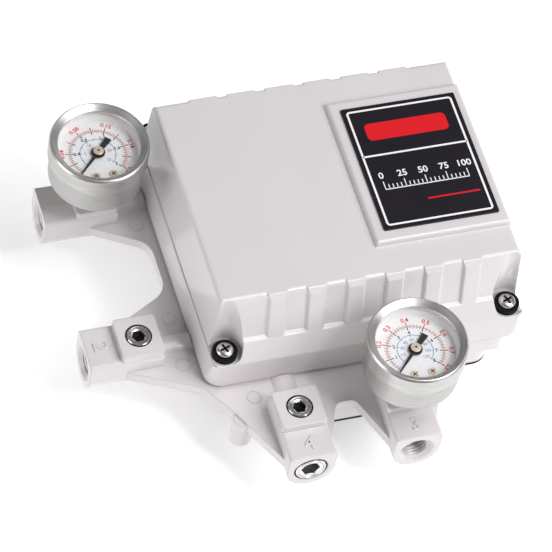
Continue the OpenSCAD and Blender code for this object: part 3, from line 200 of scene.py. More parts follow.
class PrintSettings(bpy.types.PropertyGroup):
    """Sizes and colours of the print on the dials and on the plate."""

    red: bpy.props.FloatVectorProperty(
        name="Red", description="Red ink", subtype="COLOR", default=(0.720, 0.010, 0.018), min=0, max=1)
    blue: bpy.props.FloatVectorProperty(
        name="Blue", description="Blue ink", subtype="COLOR", default=(0.200, 0.420, 0.720), min=0, max=1)
    black: bpy.props.FloatVectorProperty(
        name="Black", description="Black ink and the pointers", subtype="COLOR",
        default=(0.016, 0.014, 0.016), min=0, max=1)
    white: bpy.props.FloatVectorProperty(
        name="White", description="White ink of the plate", subtype="COLOR",
        default=(0.90, 0.90, 0.90), min=0, max=1)
    dial: bpy.props.FloatVectorProperty(
        name="Dial", description="White paint of the dials", subtype="COLOR",
        default=(0.98, 0.955, 0.97), min=0, max=1)
    plate: bpy.props.FloatVectorProperty(
        name="Plate", description="Black coating of the plate", subtype="COLOR",
        default=(0.008, 0.006, 0.011), min=0, max=1)
    red_ring: bpy.props.FloatProperty(
        name="Red ring", description="Radius of the red scale line", unit="LENGTH",
        default=12.0 * MM, min=8 * MM, max=15 * MM)
    blue_ring: bpy.props.FloatProperty(
        name="Blue ring", description="Radius of the blue scale line", unit="LENGTH",
        default=7.5 * MM, min=4 * MM, max=10 * MM)
    ink: bpy.props.FloatProperty(
        name="Ink", description="Height that printed ink stands over its face", unit="LENGTH",
        default=0.03 * MM, min=0.01 * MM, max=0.1 * MM)


class StageSettings(bpy.types.PropertyGroup):
    """Studio around the part."""

    floor: bpy.props.FloatVectorProperty(
        name="Floor", description="Colour of the floor", subtype="COLOR",
        default=(0.90, 0.90, 0.90), min=0, max=1)
    glow: bpy.props.FloatProperty(
        name="Glow", description="Light that the white table itself gives", default=0.42, min=0, max=2)
    dome: bpy.props.FloatProperty(
        name="Dome", description="Strength of the even light from all round", default=0.22, min=0, max=3)
    key: bpy.props.FloatProperty(
        name="Key", description="Power of the large soft light", unit="POWER", default=12.8, min=0, max=200)
    top: bpy.props.FloatProperty(
        name="Top", description="Power of the light overhead", unit="POWER", default=7.2, min=0, max=200)
    glint: bpy.props.FloatProperty(
        name="Glint", description="Power of the small lamp that draws the glints on the edges",
        unit="POWER", default=2.6, min=0, max=20)
    fill: bpy.props.FloatProperty(
        name="Fill", description="Power of the second light", unit="POWER", default=6, min=0, max=200)


class Wire:
    """An output socket of a material; arithmetic on it adds Math nodes, and add() any other node."""

    def __init__(self, tree, socket=None):
        self.tree = tree
        self.socket = socket

    def add(self, kind, settings, sockets, out=0):
        """Adds a node of this type: its settings first, then the values or links of its sockets."""
        node = self.tree.nodes.new(kind)
        for key, value in settings.items():
            setattr(node, key, value)
        for key, value in sockets.items():
            if isinstance(value, Wire):
                self.tree.links.new(value.socket, node.inputs[key])
            else:
                node.inputs[key].default_value = value
        return Wire(self.tree, node.outputs[out])

    def maths(self, operation, first, second):
        """Math node on two values or links."""
        return self.add("ShaderNodeMath", {"operation": operation}, {0: first, 1: second})

    def __add__(self, other):
        return self.maths("ADD", self, other)

    def __radd__(self, other):
        return self.maths("ADD", other, self)

    def __sub__(self, other):
        return self.maths("SUBTRACT", self, other)

    def __rsub__(self, other):
        return self.maths("SUBTRACT", other, self)

    def __mul__(self, other):
        return self.maths("MULTIPLY", self, other)

    def __rmul__(self, other):
        return self.maths("MULTIPLY", other, self)

    def __gt__(self, other):
        return self.maths("GREATER_THAN", self, other)

    def __lt__(self, other):
        return self.maths("LESS_THAN", self, other)

    def noise(self, scale, detail=2.0, rough=0.5):
        """Value noise on this vector, about 1/scale metres from blob to blob."""
        sockets = {"Vector": self, "Scale": scale, "Detail": detail, "Roughness": rough}
        return self.add("ShaderNodeTexNoise", {}, sockets)

    def stretched(self, x, y, z, centre=(0, 0, 0)):
        """This vector about a centre, scaled on each axis, so that a noise turns into streaks."""
        place = tuple(-c * s for c, s in zip(centre, (x, y, z)))
        return self.add("ShaderNodeMapping", {}, {"Vector": self, "Location": place, "Scale": (x, y, z)})

    def blend(self, dark, light):
        """Colour between two shades, by this value; a Mix node's colours have these places in its lists."""
        first, second, result = 6, 7, 2
        sockets = {"Factor": self, first: (*dark, 1), second: (*light, 1)}
        return self.add("ShaderNodeMix", {"data_type": "RGBA"}, sockets, out=result)

    def bump(self, strength, distance, **normal):
        """Normal that this value raises, over the plain surface or over another normal."""
        sockets = {"Height": self, "Strength": strength, "Distance": distance, **normal}
        return self.add("ShaderNodeBump", {}, sockets)


def shade(colour, factor):
    """A colour made darker or lighter."""
    return tuple(min(1.0, c * factor) for c in colour)


def material(name, recipe, **constants):
    """Principled material: constants on its own sockets, and by socket what the recipe makes of the object's
    coordinates."""
    made = bpy.data.materials.new(name)
    made.use_nodes = True
    tree = made.node_tree
    shader = tree.nodes["Principled BSDF"]
    for key, value in constants.items():
        shader.inputs[key.replace("_", " ")].default_value = value
    coordinates = Wire(tree).add("ShaderNodeTexCoord", {}, {}, out="Object")
    for key, value in recipe(coordinates).items():
        tree.links.new(value.socket, shader.inputs[key])
    return made


def paint_recipe(colour, edge):
    """Sprayed paint: fine orange peel, faint clouds and a few darker specks, drawn round the cast edges."""
    def recipe(at):
        soft = at.add("ShaderNodeBevel", {"samples": 8}, {"Radius": edge})
        peel = at.noise(750, detail=1.5, rough=0.45)
        cloud = at.noise(28, detail=3)
        speck = at.noise(2600, detail=1) > 0.74
        tone = cloud * 0.9 - speck * 0.25
        return {"Base Color": tone.blend(shade(colour, 0.955), shade(colour, 1.045)),
                "Roughness": at.noise(90, detail=3) * 0.08 + 0.12,
                "Normal": peel.bump(0.05, 0.12 * MM, Normal=soft)}
    return recipe


def rubber_recipe(colour):
    """Moulded rubber or plastic: dull, with a fine grain and bloom."""
    def recipe(at):
        bloom, grain = at.noise(160, detail=4), at.noise(2400)
        return {"Base Color": bloom.blend(shade(colour, 0.6), shade(colour, 2.0)),
                "Roughness": at.noise(700) * 0.25 + 0.5,
                "Normal": grain.bump(0.25, 0.05 * MM)}
    return recipe


def plate_recipe(colour):
    """Satin black coating with a fine grain along the plate."""
    def recipe(at):
        cloud = at.noise(120, detail=3)
        grain = at.stretched(60, 2600, 60).noise(1, detail=3)
        return {"Base Color": cloud.blend(shade(colour, 0.7), shade(colour, 1.5)),
                "Roughness": grain * 0.16 + 0.26,
                "Normal": grain.bump(0.05, 0.02 * MM)}
    return recipe


def turned_recipe(colour, centre, dull, ring, wall):
    """Turned metal: fine grooves by radius and height about an upright axis, with streaks of brushing and
    handling marks, and painted shade beyond the radius of its wall, on a bezel's side."""
    def recipe(at):
        local = at.stretched(1, 1, 1, centre)
        flat = local.add("ShaderNodeVectorMath", {"operation": "MULTIPLY"}, {0: local, 1: (1, 1, 0)})
        radius = flat.add("ShaderNodeVectorMath", {"operation": "LENGTH"}, {0: flat}, out="Value")
        height = local.add("ShaderNodeSeparateXYZ", {}, {0: local}, out="Z")
        section = local.add("ShaderNodeCombineXYZ", {}, {"X": radius, "Z": height})
        groove = section.noise(ring, detail=3, rough=0.6)
        marks = at.noise(260, detail=4, rough=0.6)
        streak = local.stretched(110, 110, 1300).noise(1, detail=3, rough=0.6)
        # Past the wall radius the bezel's side is painted darker: painted shade.
        tone = groove * 0.3 + streak * 0.7 + 0.2 - (radius > wall) * 0.35
        return {"Base Color": tone.blend(shade(colour, 0.5), shade(colour, 1.15)),
                "Roughness": groove * 0.16 + marks * 0.10 + dull,
                "Normal": groove.bump(0.10, 0.02 * MM)}
    return recipe


def metal_recipe(colour, dull, stain):
    """Machined or drawn metal: fine streaks along the part and clouds of tarnish."""
    def recipe(at):
        streak = at.stretched(300, 300, 3600).noise(1, detail=3, rough=0.6)
        tarnish = at.noise(140, detail=4, rough=0.55)
        return {"Base Color": tarnish.blend(shade(colour, 1 - stain), shade(colour, 1 + stain)),
                "Roughness": streak * 0.15 + tarnish * 0.12 + dull,
                "Normal": streak.bump(0.06, 0.02 * MM)}
    return recipe


def ink_recipe(colour):
    """Printed or sprayed ink: almost even, with a fine tooth."""
    def recipe(at):
        cloud, tooth = at.noise(900, detail=3), at.noise(5000, detail=1)
        return {"Base Color": cloud.blend(shade(colour, 0.9), shade(colour, 1.08)),
                "Roughness": at.noise(1500) * 0.15 + 0.38,
                "Normal": tooth.bump(0.04, 0.01 * MM)}
    return recipe


def floor_recipe(colour):
    """Matt white table with very faint clouds."""
    def recipe(at):
        return {"Base Color": at.noise(6, detail=3).blend(shade(colour, 0.995), colour),
                "Roughness": at.noise(40) * 0.1 + 0.7}
    return recipe


def glass_material():
    """Clear lens: what is behind it shows, and it mirrors more at a slant; faint wiping marks dull the
    mirror."""
    made = bpy.data.materials.new("lens_glass")
    made.use_nodes = True
    tree = made.node_tree
    tree.nodes.remove(tree.nodes["Principled BSDF"])
    root = Wire(tree)
    wiping = root.add("ShaderNodeTexCoord", {}, {}, out="Object").noise(400, detail=3)
    mirror = root.add("ShaderNodeBsdfPrincipled", {}, {
        "Base Color": (1, 1, 1, 1), "Metallic": 1.0, "Roughness": wiping * 0.05 + 0.01})
    clear = root.add("ShaderNodeBsdfTransparent", {}, {"Color": (0.995, 0.997, 0.997, 1)})
    share = root.add("ShaderNodeFresnel", {}, {"IOR": 1.42}) * 0.4
    mixed = root.add("ShaderNodeMixShader", {}, {0: share, 1: clear, 2: mirror})
    tree.links.new(mixed.socket, tree.nodes["Material Output"].inputs["Surface"])
    return made


def axis_of(gauge):
    """Point on a gauge's axis, at the top of its dial."""
    low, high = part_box(f"{gauge}_gauge_dial")
    return ((low.x + high.x) / 2, (low.y + high.y) / 2, high.z)


def slot_material(slot, near):
    """New material of a slot: its recipe and its constant sockets. Near a gauge, steel is turned about the
    gauge's axis, and bright steel is painted darker beyond the bezel's edge, as painted shade on its side."""
    look = bpy.context.scene.positioner_finish
    ink = bpy.context.scene.positioner_print
    centre = axis_of(near) if near else (0, 0, 0)
    dull = 0.22 if near else 0.10
    # Radius past which the bezel's side gets painted shade.
    wall = look.bezel_edge if near else NO_WALL
    # Bright steel is a lighter copy and the cases' satin steel a darker copy of one steel colour: painted
    # highlight and painted shade.
    bright = turned_recipe(shade(look.steel, 1.1), centre, dull=dull, ring=1800, wall=wall)
    satin = turned_recipe(shade(look.steel, 0.75), centre, dull=0.26, ring=2600, wall=NO_WALL)
    metal = {"Metallic": 1.0}
    matt = {"Specular_IOR_Level": 0.2}
    coated = {"Coat_Weight": 0.2, "Coat_Roughness": 0.2, "Specular_IOR_Level": 0.3}
    recipes = {
        "cast_paint": (paint_recipe(look.paint, look.edge), {}),
        "black_rubber": (rubber_recipe(look.rubber), {"Specular_IOR_Level": 0.12}),
        "black_plastic": (rubber_recipe(look.plastic), {"Coat_Weight": 0.1}),
        "plate_black": (plate_recipe(ink.plate), coated),
        "bright_steel": (bright, metal),
        "satin_steel": (satin, metal),
        "machined_aluminium": (metal_recipe(look.aluminium, dull=0.22, stain=0.08), metal),
        "tapped_aluminium": (metal_recipe(look.tapped, dull=0.40, stain=0.06), {"Metallic": 0.7}),
        "brass": (metal_recipe(look.brass, dull=0.18, stain=0.16), metal),
        "pale_brass": (metal_recipe(look.pale_brass, dull=0.30, stain=0.10), {"Metallic": 0.5}),
        "copper_tube": (metal_recipe(look.copper, dull=0.20, stain=0.22), metal),
        "socket_shadow": (ink_recipe(look.shadow), {"Specular_IOR_Level": 0.1}),
        "dial_white": (ink_recipe(ink.dial), matt),
        "pointer_black": (ink_recipe(ink.black), {}),
        "red_ink": (ink_recipe(ink.red), matt),
        "blue_ink": (ink_recipe(ink.blue), matt),
        "white_ink": (ink_recipe(ink.white), matt),
    }
    recipe, constants = recipes[slot]
    return material(f"{slot}_{near}" if near else slot, recipe, **constants)


FINISHES = {}


def finish(slot, near=None):
    """Material of a slot, made once, and once more for each gauge that turned steel is near."""
    key = (slot, near)
    if key not in FINISHES:
        FINISHES[key] = glass_material() if slot == "clear_lens" else slot_material(slot, near)
    return FINISHES[key]


def dress(node, made):
    """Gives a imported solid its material."""
    NODES[node].data.materials.clear()
    NODES[node].data.materials.append(made)


def grid_faces(rows, columns, wrap_rows=False, wrap_columns=False):
    """Quads between neighbouring points of a grid; a wrapped direction closes on itself."""
    down = np.arange(rows if wrap_rows else rows - 1)
    along = np.arange(columns if wrap_columns else columns - 1)
    a, b = np.meshgrid(down, along, indexing="ij")
    c, d = (a + 1) % rows, (b + 1) % columns
    quads = [a * columns + b, c * columns + b, c * columns + d, a * columns + d]
    return np.stack(quads, -1).reshape(-1, 4)


def gather(parts):
    """One set of points and faces out of several; the faces of each are an array or a list of lists."""
    points, faces, start = [], [], 0
    for spots, loops in parts:
        spots = np.asarray(spots, float).reshape(-1, 3)
        points.append(spots)
        if isinstance(loops, np.ndarray):
            faces.extend((loops + start).tolist())
        else:
            faces.extend([i + start for i in loop] for loop in loops)
        start += len(spots)
    return np.concatenate(points), faces


def piece(name, parts, body, made, crease=35):
    """New piece out of (points, faces) parts, with doubles merged, faces outward and edges past the crease's
    degrees sharp, on its body if it has one."""
    double = 0.0005 * MM
    points, faces = gather(parts)
    mesh = bpy.data.meshes.new(name)
    mesh.from_pydata(points.tolist(), [], faces)
    work = bmesh.new()
    work.from_mesh(mesh)
    bmesh.ops.remove_doubles(work, verts=work.verts, dist=double)
    bmesh.ops.recalc_face_normals(work, faces=work.faces)
    work.to_mesh(mesh)
    work.free()
    mesh.polygons.foreach_set("use_smooth", np.ones(len(mesh.polygons), bool))
    mesh.set_sharp_from_angle(angle=math.radians(crease))
    mesh.materials.append(made)
    new = bpy.data.objects.new(name, mesh)
    bpy.context.scene.collection.objects.link(new)
    if body:
        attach(new, body)
    return new


def across(axis):
    """Three rows: two directions square to an axis, then the axis."""
    axis = np.asarray(axis, float)
    side = np.cross((0, 1, 0) if axis[2] else UP, axis)
    return np.array([side, np.cross(axis, side), axis])


def turned(radius, height, centre, axis):
    """Closed surface of turning: point (i, j) stands at height i, at radius (i, j) and angle j about an
    axis."""
    rows, turns = radius.shape
    angle = np.linspace(0, 2 * np.pi, turns, endpoint=False)
    level = np.broadcast_to(height, radius.shape)
    points = np.stack([radius * np.cos(angle), radius * np.sin(angle), level], -1)
    return points @ across(axis) + np.asarray(centre), grid_faces(rows, turns, True, True)


def revolve(profile, centre, turns=96, axis=UP):
    """Ring with a closed profile of (radius, height) points in millimetres, about an axis through a
    centre."""
    radius, height = np.asarray(profile, float).T[..., None] * MM
    return turned(np.broadcast_to(radius, (len(radius), turns)), height, centre, axis)


def strip(path, sideways, half, low, high, closed):
    """Band: point (i, k) is path point i, plus half the width sideways, at the low or the high level."""
    path = np.asarray(path, float)
    side = np.array([-1, 1, 1, -1]) * half
    level = np.array([low, low, high, high])
    flat = path[:, None, :] + np.asarray(sideways, float)[:, None, :] * side[None, :, None]
    points = np.concatenate([flat, np.broadcast_to(level, flat.shape[:2])[..., None]], -1)
    faces = grid_faces(len(path), 4, closed, True).tolist()
    if not closed:
        last = 4 * (len(path) - 1)
        faces += [[0, 1, 2, 3], [last, last + 1, last + 2, last + 3]]
    return points, faces


def arc(centre, radius, first, last, width, low, high):
    """Flat ring line of some width, between two angles in degrees about a centre."""
    angle = np.radians(np.linspace(first, last, ROUND))
    out = np.stack([np.cos(angle), np.sin(angle)], -1)
    return strip(np.asarray(centre)[:2] + radius * out, out, width / 2, low, high, False)


def rays(centre, angles, inner, outer, width, low, high):
    """Marks: boxes from the inner to the outer radius at each angle, all corners in one array."""
    angle = np.radians(np.asarray(angles, float))[:, None]
    radius = np.array([inner, outer, outer, inner, inner, outer, outer, inner])
    side = np.array([-1, -1, 1, 1, -1, -1, 1, 1]) * width / 2
    level = np.array([low] * 4 + [high] * 4)
    x = centre[0] + radius * np.cos(angle) - side * np.sin(angle)
    y = centre[1] + radius * np.sin(angle) + side * np.cos(angle)
    points = np.stack([x, y, np.broadcast_to(level, x.shape)], -1)
    box = np.array([[0, 3, 2, 1], [4, 5, 6, 7], [0, 1, 5, 4], [1, 2, 6, 5], [2, 3, 7, 6], [3, 0, 4, 7]])
    return points, (box[None] + 8 * np.arange(len(angle))[:, None, None]).reshape(-1, 4)


def cross(centre, first, reach, width, low, high):
    """Recess of a cross-headed screw: four rays, the first at an angle in degrees."""
    return rays(centre, [first + 90 * k for k in range(4)], 0, reach, width, low, high)


def bar(x0, y0, x1, y1, low, high):
    """Straight-edged block between two corners and two levels."""
    middle = (y0 + y1) / 2
    return strip([(x0, middle), (x1, middle)], [(0, 1), (0, 1)], (y1 - y0) / 2, low, high, False)


def rounded_loop(x0, y0, x1, y1, radius):
    """Outline of a rectangle with round corners, with its outward direction at each point."""
    count = 10
    quarter = np.linspace(0, np.pi / 2, count)
    angle = np.concatenate([quarter + k * np.pi / 2 for k in range(4)])
    corner = np.repeat([(x1, y1), (x0, y1), (x0, y0), (x1, y0)], count, axis=0)
    inward = np.repeat([(-1, -1), (1, -1), (1, 1), (-1, 1)], count, axis=0) * radius
    out = np.stack([np.cos(angle), np.sin(angle)], -1)
    return corner + inward + out * radius, out


def slab(x0, y0, x1, y1, radius, low, high):
    """Solid plate with round corners: its outline at two levels, and the two faces."""
    loop, _ = rounded_loop(x0, y0, x1, y1, radius)
    count = len(loop)
    points = np.concatenate([np.c_[loop, np.full(count, low)], np.c_[loop, np.full(count, high)]])
    faces = grid_faces(2, count, False, True).tolist()
    return points, faces + [list(range(count)), list(range(count, 2 * count))]


def thread(face, axis, radius, length, pitch):
    """Female thread: at depth i and angle j the wall stands in from the bore by a triangular wave of the
    depth less one pitch a turn; a plain outer wall closes the piece."""
    rows_a_pitch = 12
    crest = 0.5 * pitch
    turn = np.linspace(0, 1, ROUND, endpoint=False)
    depth = np.linspace(0, length, rows_a_pitch * round(length / pitch))[:, None]
    wave = np.abs((depth / pitch - turn) % 1 * 2 - 1)
    wall = np.concatenate([radius - crest * wave, np.full((2, ROUND), radius)])
    return turned(wall, -np.concatenate([depth, [[length], [0]]]), face, axis)


def plug(centre, axis, rim, key, head, length):
    """Screwed plug about an axis, outer face at its centre: the radius of row i is that of its rim, lands
    and shank, and in the key's socket that of a hexagon, half the key's width over the cosine from a flat's
    middle."""
    angle = np.linspace(0, 2 * np.pi, ROUND, endpoint=False)
    hexagon = key / 2 / np.cos(angle % (np.pi / 3) - np.pi / 6)
    floor, lip = -0.6 * length, -0.55 * MM
    socket = [[floor], [floor], [lip]]
    # In millimetres, from the land round the socket by the groove and the bevelled rim to the shank.
    corner, r, foot, end = key / math.sqrt(3) / MM, rim / MM, -head / MM, -length / MM
    land, groove, bevel, shank = -0.2, -0.5, 0.35, r - 0.75
    profile = [(corner + 0.2, land - 0.05), (corner + 0.3, land), (r - 1.5, land),
               (r - 1.3, groove), (r - 1.1, groove),
               (r - 0.9, -0.03), (r - 0.8, 0), (r - bevel, 0), (r, -bevel), (r, foot),
               (shank, foot), (shank, end), (0, end)]
    radius, height = np.array(profile).T[..., None] * MM
    radius = np.concatenate([0 * hexagon[None], [hexagon, hexagon], radius + 0 * hexagon])
    return turned(radius, np.concatenate([socket, height]), centre, axis)


def coil(start, length, radius, wire, turns):
    """Coil spring along y: a circle of wire at angle j, carried round a helix at step i, whose rise is one
    wire's thickness in the first and the last turn and even between them."""
    steps_a_turn, sides = 28, 10
    turn = np.linspace(0, turns, steps_a_turn * turns)
    stops = [wire, 3 * wire, length - 3 * wire, length - wire]
    rise = np.interp(turn, [0, 1, turns - 1, turns], stops)[:, None]
    swing = 2 * np.pi * turn[:, None]
    around = np.linspace(0, 2 * np.pi, sides, endpoint=False)
    reach = radius - wire + wire * np.cos(around)
    points = np.stack([reach * np.cos(swing), rise + wire * np.sin(around), reach * np.sin(swing)], -1)
    last = sides * (len(turn) - 1)
    ends = [list(range(sides)), list(range(last, last + sides))]
    return points + np.asarray(start), grid_faces(len(turn), sides, False, True).tolist() + ends


def figures(text, height, thick):
    """Points and faces of a number in the built-in type, centred on the origin and solid."""
    figure_share, bolder = 0.7, 0.025
    curve = bpy.data.curves.new("figures", "FONT")
    curve.body = text
    curve.size = height / figure_share
    curve.align_x = "CENTER"
    curve.align_y = "CENTER"
    curve.resolution_u = 3
    curve.extrude = thick / 2
    curve.offset = bolder * height
    made = bpy.data.objects.new("figures", curve)
    mesh = bpy.data.meshes.new_from_object(made)
    points = np.empty(3 * len(mesh.vertices))
    mesh.vertices.foreach_get("co", points)
    points = points.reshape(-1, 3)
    points -= (points.min(axis=0) + points.max(axis=0)) / 2
    faces = [list(face.vertices) for face in mesh.polygons]
    bpy.data.objects.remove(made)
    bpy.data.curves.remove(curve)
    bpy.data.meshes.remove(mesh)
    return points, faces


def placed(text, height, thick, spot, turn=0):
    """A number turned by some degrees about the upright axis and set on a spot."""
    points, faces = figures(text, height, thick)
    a = math.radians(turn)
    spin = np.array([[math.cos(a), -math.sin(a), 0], [math.sin(a), math.cos(a), 0], [0, 0, 1]])
    return points @ spin.T + np.asarray(spot), faces


def level_at(node, x, y):
    """Height of a solid's upper face at a place in plan."""
    start, down = (x, y, 1), (0, 0, -1)
    hit, spot, _, _ = NODES[node].ray_cast(start, down)
    if not hit:
        raise ValueError(f"{node} has no face at {x}, {y}")
    return spot.z


def scale_angle(share):
    """Direction of a reading, as a share of the sweep that runs clockwise from its zero."""
    return ZERO - SWEEP * np.asarray(share, float)


class POSITIONER_OT_castings(bpy.types.Operator):
    """Paint the cover and the base, with their cast edges drawn soft."""

    bl_idname = "positioner.castings"
    bl_label = "Castings"

    def execute(self, context):
        for node in ("front_cover", "base_housing"):
            dress(node, finish("cast_paint"))
        return {"FINISHED"}


class POSITIONER_OT_fittings(bpy.types.Operator):
    """Give every other solid the finish of its slot, and the dial screws the pale brass of the hubs."""

    bl_idname = "positioner.fittings"
    bl_label = "Fittings and mechanism"

    def execute(self, context):
        for node, slot in SLOTS.items():
            if slot == "cast_paint":
                continue
            near = next((g for g in GAUGES if node.startswith(g) and slot.endswith("steel")), None)
            dress(node, finish("pale_brass" if node.endswith("dial_screws") else slot, near))
        return {"FINISHED"}


class POSITIONER_OT_dials(bpy.types.Operator):
    """Print the scales and plain numbers on both dials, give each a rim, and cap the pointer hubs."""

    bl_idname = "positioner.dials"
    bl_label = "Dials"

    def execute(self, context):
        ink = context.scene.positioner_print
        black_in = 0.45 * MM
        # Radius and height in millimetres: the rim over the dial's face, hub and pin over the pointer's.
        rim = [(16.9, -0.02), (19.05, -0.02), (19.05, 3.6), (18.7, 3.6), (16.9, 0.12)]
        hub = [(0, -0.25), (2.05, -0.25), (2.2, -0.1), (2.2, 0.25),
               (1.95, 0.45), (0.55, 0.5), (0.4, 0.2), (0, 0.2)]
        pin = [(0, 0.1), (0.5, 0.1), (0.42, 0.54), (0, 0.6)]
        for gauge in GAUGES:
            spot = axis_of(gauge)
            needle = f"{gauge}_needle"
            red = self.scale(gauge, "red", ink.red_ring, ink.ink, True)
            black = self.scale(gauge, "black", ink.red_ring - black_in, ink.ink, False)
            # Black crosses on the dial screws: painted shade of their recesses, in the black ink.
            black += self.screw_crosses(gauge, ink.ink)
            blue = self.scale(gauge, "blue", ink.blue_ring, ink.ink, False)
            piece(f"{gauge}_dial_red_scale", red, "base", finish("red_ink"))
            piece(f"{gauge}_dial_black_scale_and_screw_shade", black, "base", finish("pointer_black"))
            piece(f"{gauge}_dial_blue_scale", blue, "base", finish("blue_ink"))
            piece(f"{gauge}_dial_rim", [revolve(rim, spot)], "base", finish("dial_white"))
            centre = (spot[0], spot[1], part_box(f"{gauge}_pointer")[1].z)
            piece(f"{gauge}_pointer_hub", [revolve(hub, centre, turns=48)],
                  needle, finish("pale_brass"))
            piece(f"{gauge}_pointer_pin", [revolve(pin, centre, turns=24)],
                  needle, finish("pointer_black"))
        return {"FINISHED"}

    def scale(self, gauge, colour, ring, ink, along):
        """One scale: its ring line, its rows of marks, and numbers at even shares of the sweep up to the
        full reading, upright or turned along the ring."""
        spot, dial, sizes = axis_of(gauge), DIALS[gauge], SCALES[colour]
        low, high = spot[2] - ink, spot[2] + ink
        parts = [arc(spot, ring, *scale_angle([0, 1]), sizes["line"] * MM, low, high)]
        for row, steps in (("fine", FINE_STEPS * dial["steps"]), ("main", dial["steps"])):
            if row in sizes:
                inner, outer, width = (size * MM for size in sizes[row])
                angles = scale_angle(np.linspace(0, 1, steps + 1))
                parts.append(rays(spot, angles, ring + inner, ring + outer, width, low, high))
        radius = ring + sizes["out"] * MM
        for share in np.arange(1, dial["labels"] + 1) / dial["labels"]:
            angle = float(scale_angle(share))
            a = math.radians(angle)
            place = (spot[0] + radius * math.cos(a), spot[1] + radius * math.sin(a), spot[2])
            label = f"{dial[colour] * share:.3g}"
            parts.append(placed(label, sizes["height"] * MM, 2 * ink, place, angle - 90 if along else 0))
        return parts

    def screw_crosses(self, gauge, ink):
        """Crosses of painted shade on a dial's two screws, standing for their recesses, sized in shares of
        the heads' radius.
        """
        first, reach, width = 35, 0.62, 0.22
        low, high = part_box(f"{gauge}_dial_screws")
        head, y = (high.y - low.y) / 2, (low.y + high.y) / 2
        return [cross((x, y), first, reach * head, width * head, high.z - ink, high.z + ink)
                for x in (low.x + head, high.x - head)]


class POSITIONER_OT_ports(bpy.types.Operator):
    """Thread the open ports, number the four arms and leave the ejector marks of the casting on the web."""

    bl_idname = "positioner.ports"
    bl_label = "Ports"

    def execute(self, context):
        look = context.scene.positioner_ports
        ends = []
        for name, port in PORTS.items():
            radius, length = port["dims"]["r_mm"] * MM, port["dims"]["length_mm"] * MM
            mouth = np.asarray(port["pos_m"]) + np.asarray(port["axis"]) * length / 2
            parts = [thread(mouth, port["axis"], radius - look.gap, length - look.gap, look.pitch)]
            piece(f"{name}_thread", parts, "base", finish("tapped_aluminium"),
                  crease=80)
            ends.append((mouth, port["axis"]))
        # The plugged port faces the same way as the last open one, and is level with it.
        low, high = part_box("output_port_plug")
        ends.append((((low.x + high.x) / 2, ends[-1][0][1]), ends[-1][1]))
        height, relief = 6.2 * MM, 0.7 * MM
        parts = []
        for number, (mouth, axis) in enumerate(ends, 1):
            x, y = np.asarray(mouth[:2]) - look.label_in * np.asarray(axis[:2])
            spot = (x, y, level_at("base_housing", x, y))
            parts.append(placed(str(number), height, relief, spot, -90 if axis[0] else 0))
        piece("arm_numbers", parts, "base", finish("cast_paint"))
        # Radius and height of an ejector mark's low ring, in millimetres.
        ring = [(2.6, -0.1), (2.6, 0.05), (2.75, 0.14), (3.0, 0.14), (3.15, 0.05), (3.15, -0.1)]
        marks = [revolve(ring, (x * MM, y * MM, level_at("base_housing", x * MM, y * MM)), turns=48)
                 for x, y in EJECTORS]
        piece("ejector_marks", marks, "base", finish("cast_paint"))
        return {"FINISHED"}


class POSITIONER_OT_hardware(bpy.types.Operator):
    """Turn the three plugs, ring them with painted gap shade, and put painted shade in their key sockets and
    in the recesses of the screws.
    """

    bl_idname = "positioner.hardware"
    bl_label = "Plugs and screws"

    def execute(self, context):
        look = context.scene.positioner_ports
        plugs = self.plug_rows(look)
        made = piece("plugs", [plug(*row) for row in plugs], "base", finish("bright_steel"))
        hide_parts("gauge_port_plugs", "output_port_plug")
        key_sides, clear = 6, 0.05
        seals_and_gap_shade, sockets = [], []
        # Radius and height in millimetres, from a plug's axis and outer face.
        for centre, axis, radius, key, _, _ in plugs:
            r, corner = radius / MM, key / MM / math.sqrt(3) - clear
            # A dark ring in the rubber colour round each plug: painted shade of the gap between plug and
            # pad.
            gap_shade_ring = [(r + 0.02, -0.5), (r + 0.02, -0.2), (r + 0.5, -0.3), (r + 0.5, -0.5)]
            # A dark hexagon deep in each key socket: painted shade.
            floor = [(0, -2.9), (corner, -2.9), (corner, -2.7), (0, -2.7)]
            seals_and_gap_shade.append(revolve(gap_shade_ring, centre, ROUND, axis))
            sockets.append(revolve(floor, centre, key_sides, axis))
        piece("plug_seals", seals_and_gap_shade, "base", finish("black_rubber"))
        piece("plug_socket_floors", sockets, "base", finish("socket_shadow"))
        # Painted shade in the cross recesses of the cover screws.
        piece("screw_recesses", self.screw_crosses(look.screw_head),
              "cover", finish("socket_shadow"))
        return {"FINISHED"}

    def plug_rows(self, look):
        """What plug() takes for the two gauge plugs on top of the arms and for the port plug."""
        low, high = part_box("gauge_port_plugs")
        supply_y = PORTS["supply_port"]["pos_m"][1]
        radius, length = high.y - supply_y, high.z - low.z
        places = [(low.x + radius, supply_y, high.z), (high.x - radius, low.y + radius, high.z)]
        rows = [(place, UP, radius, look.small_key, look.small_head, length) for place in places]
        low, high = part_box("output_port_plug")
        place = ((low.x + high.x) / 2, low.y, (low.z + high.z) / 2)
        rows.append((place, FRONT, (high.x - low.x) / 2, look.large_key, look.large_head, high.y - low.y))
        return rows

    def screw_crosses(self, head):
        """Dark crosses of painted shade in the recesses of the four cover screws, between two depths under
        their tops.
        """
        first, reach, width, deep, shallow = 20, 2.26 * MM, 0.96 * MM, 1.48 * MM, 0.6 * MM
        low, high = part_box("cover_screws")
        middle, half = (low + high) / 2, (high - low) / 2
        parts = []
        for x in (-1, 1):
            for y in (-1, 1):
                centre = (middle.x + x * (half.x - head), middle.y + y * (half.y - head))
                parts.append(cross(centre, first, reach, width, high.z - deep, high.z - shallow))
        return parts


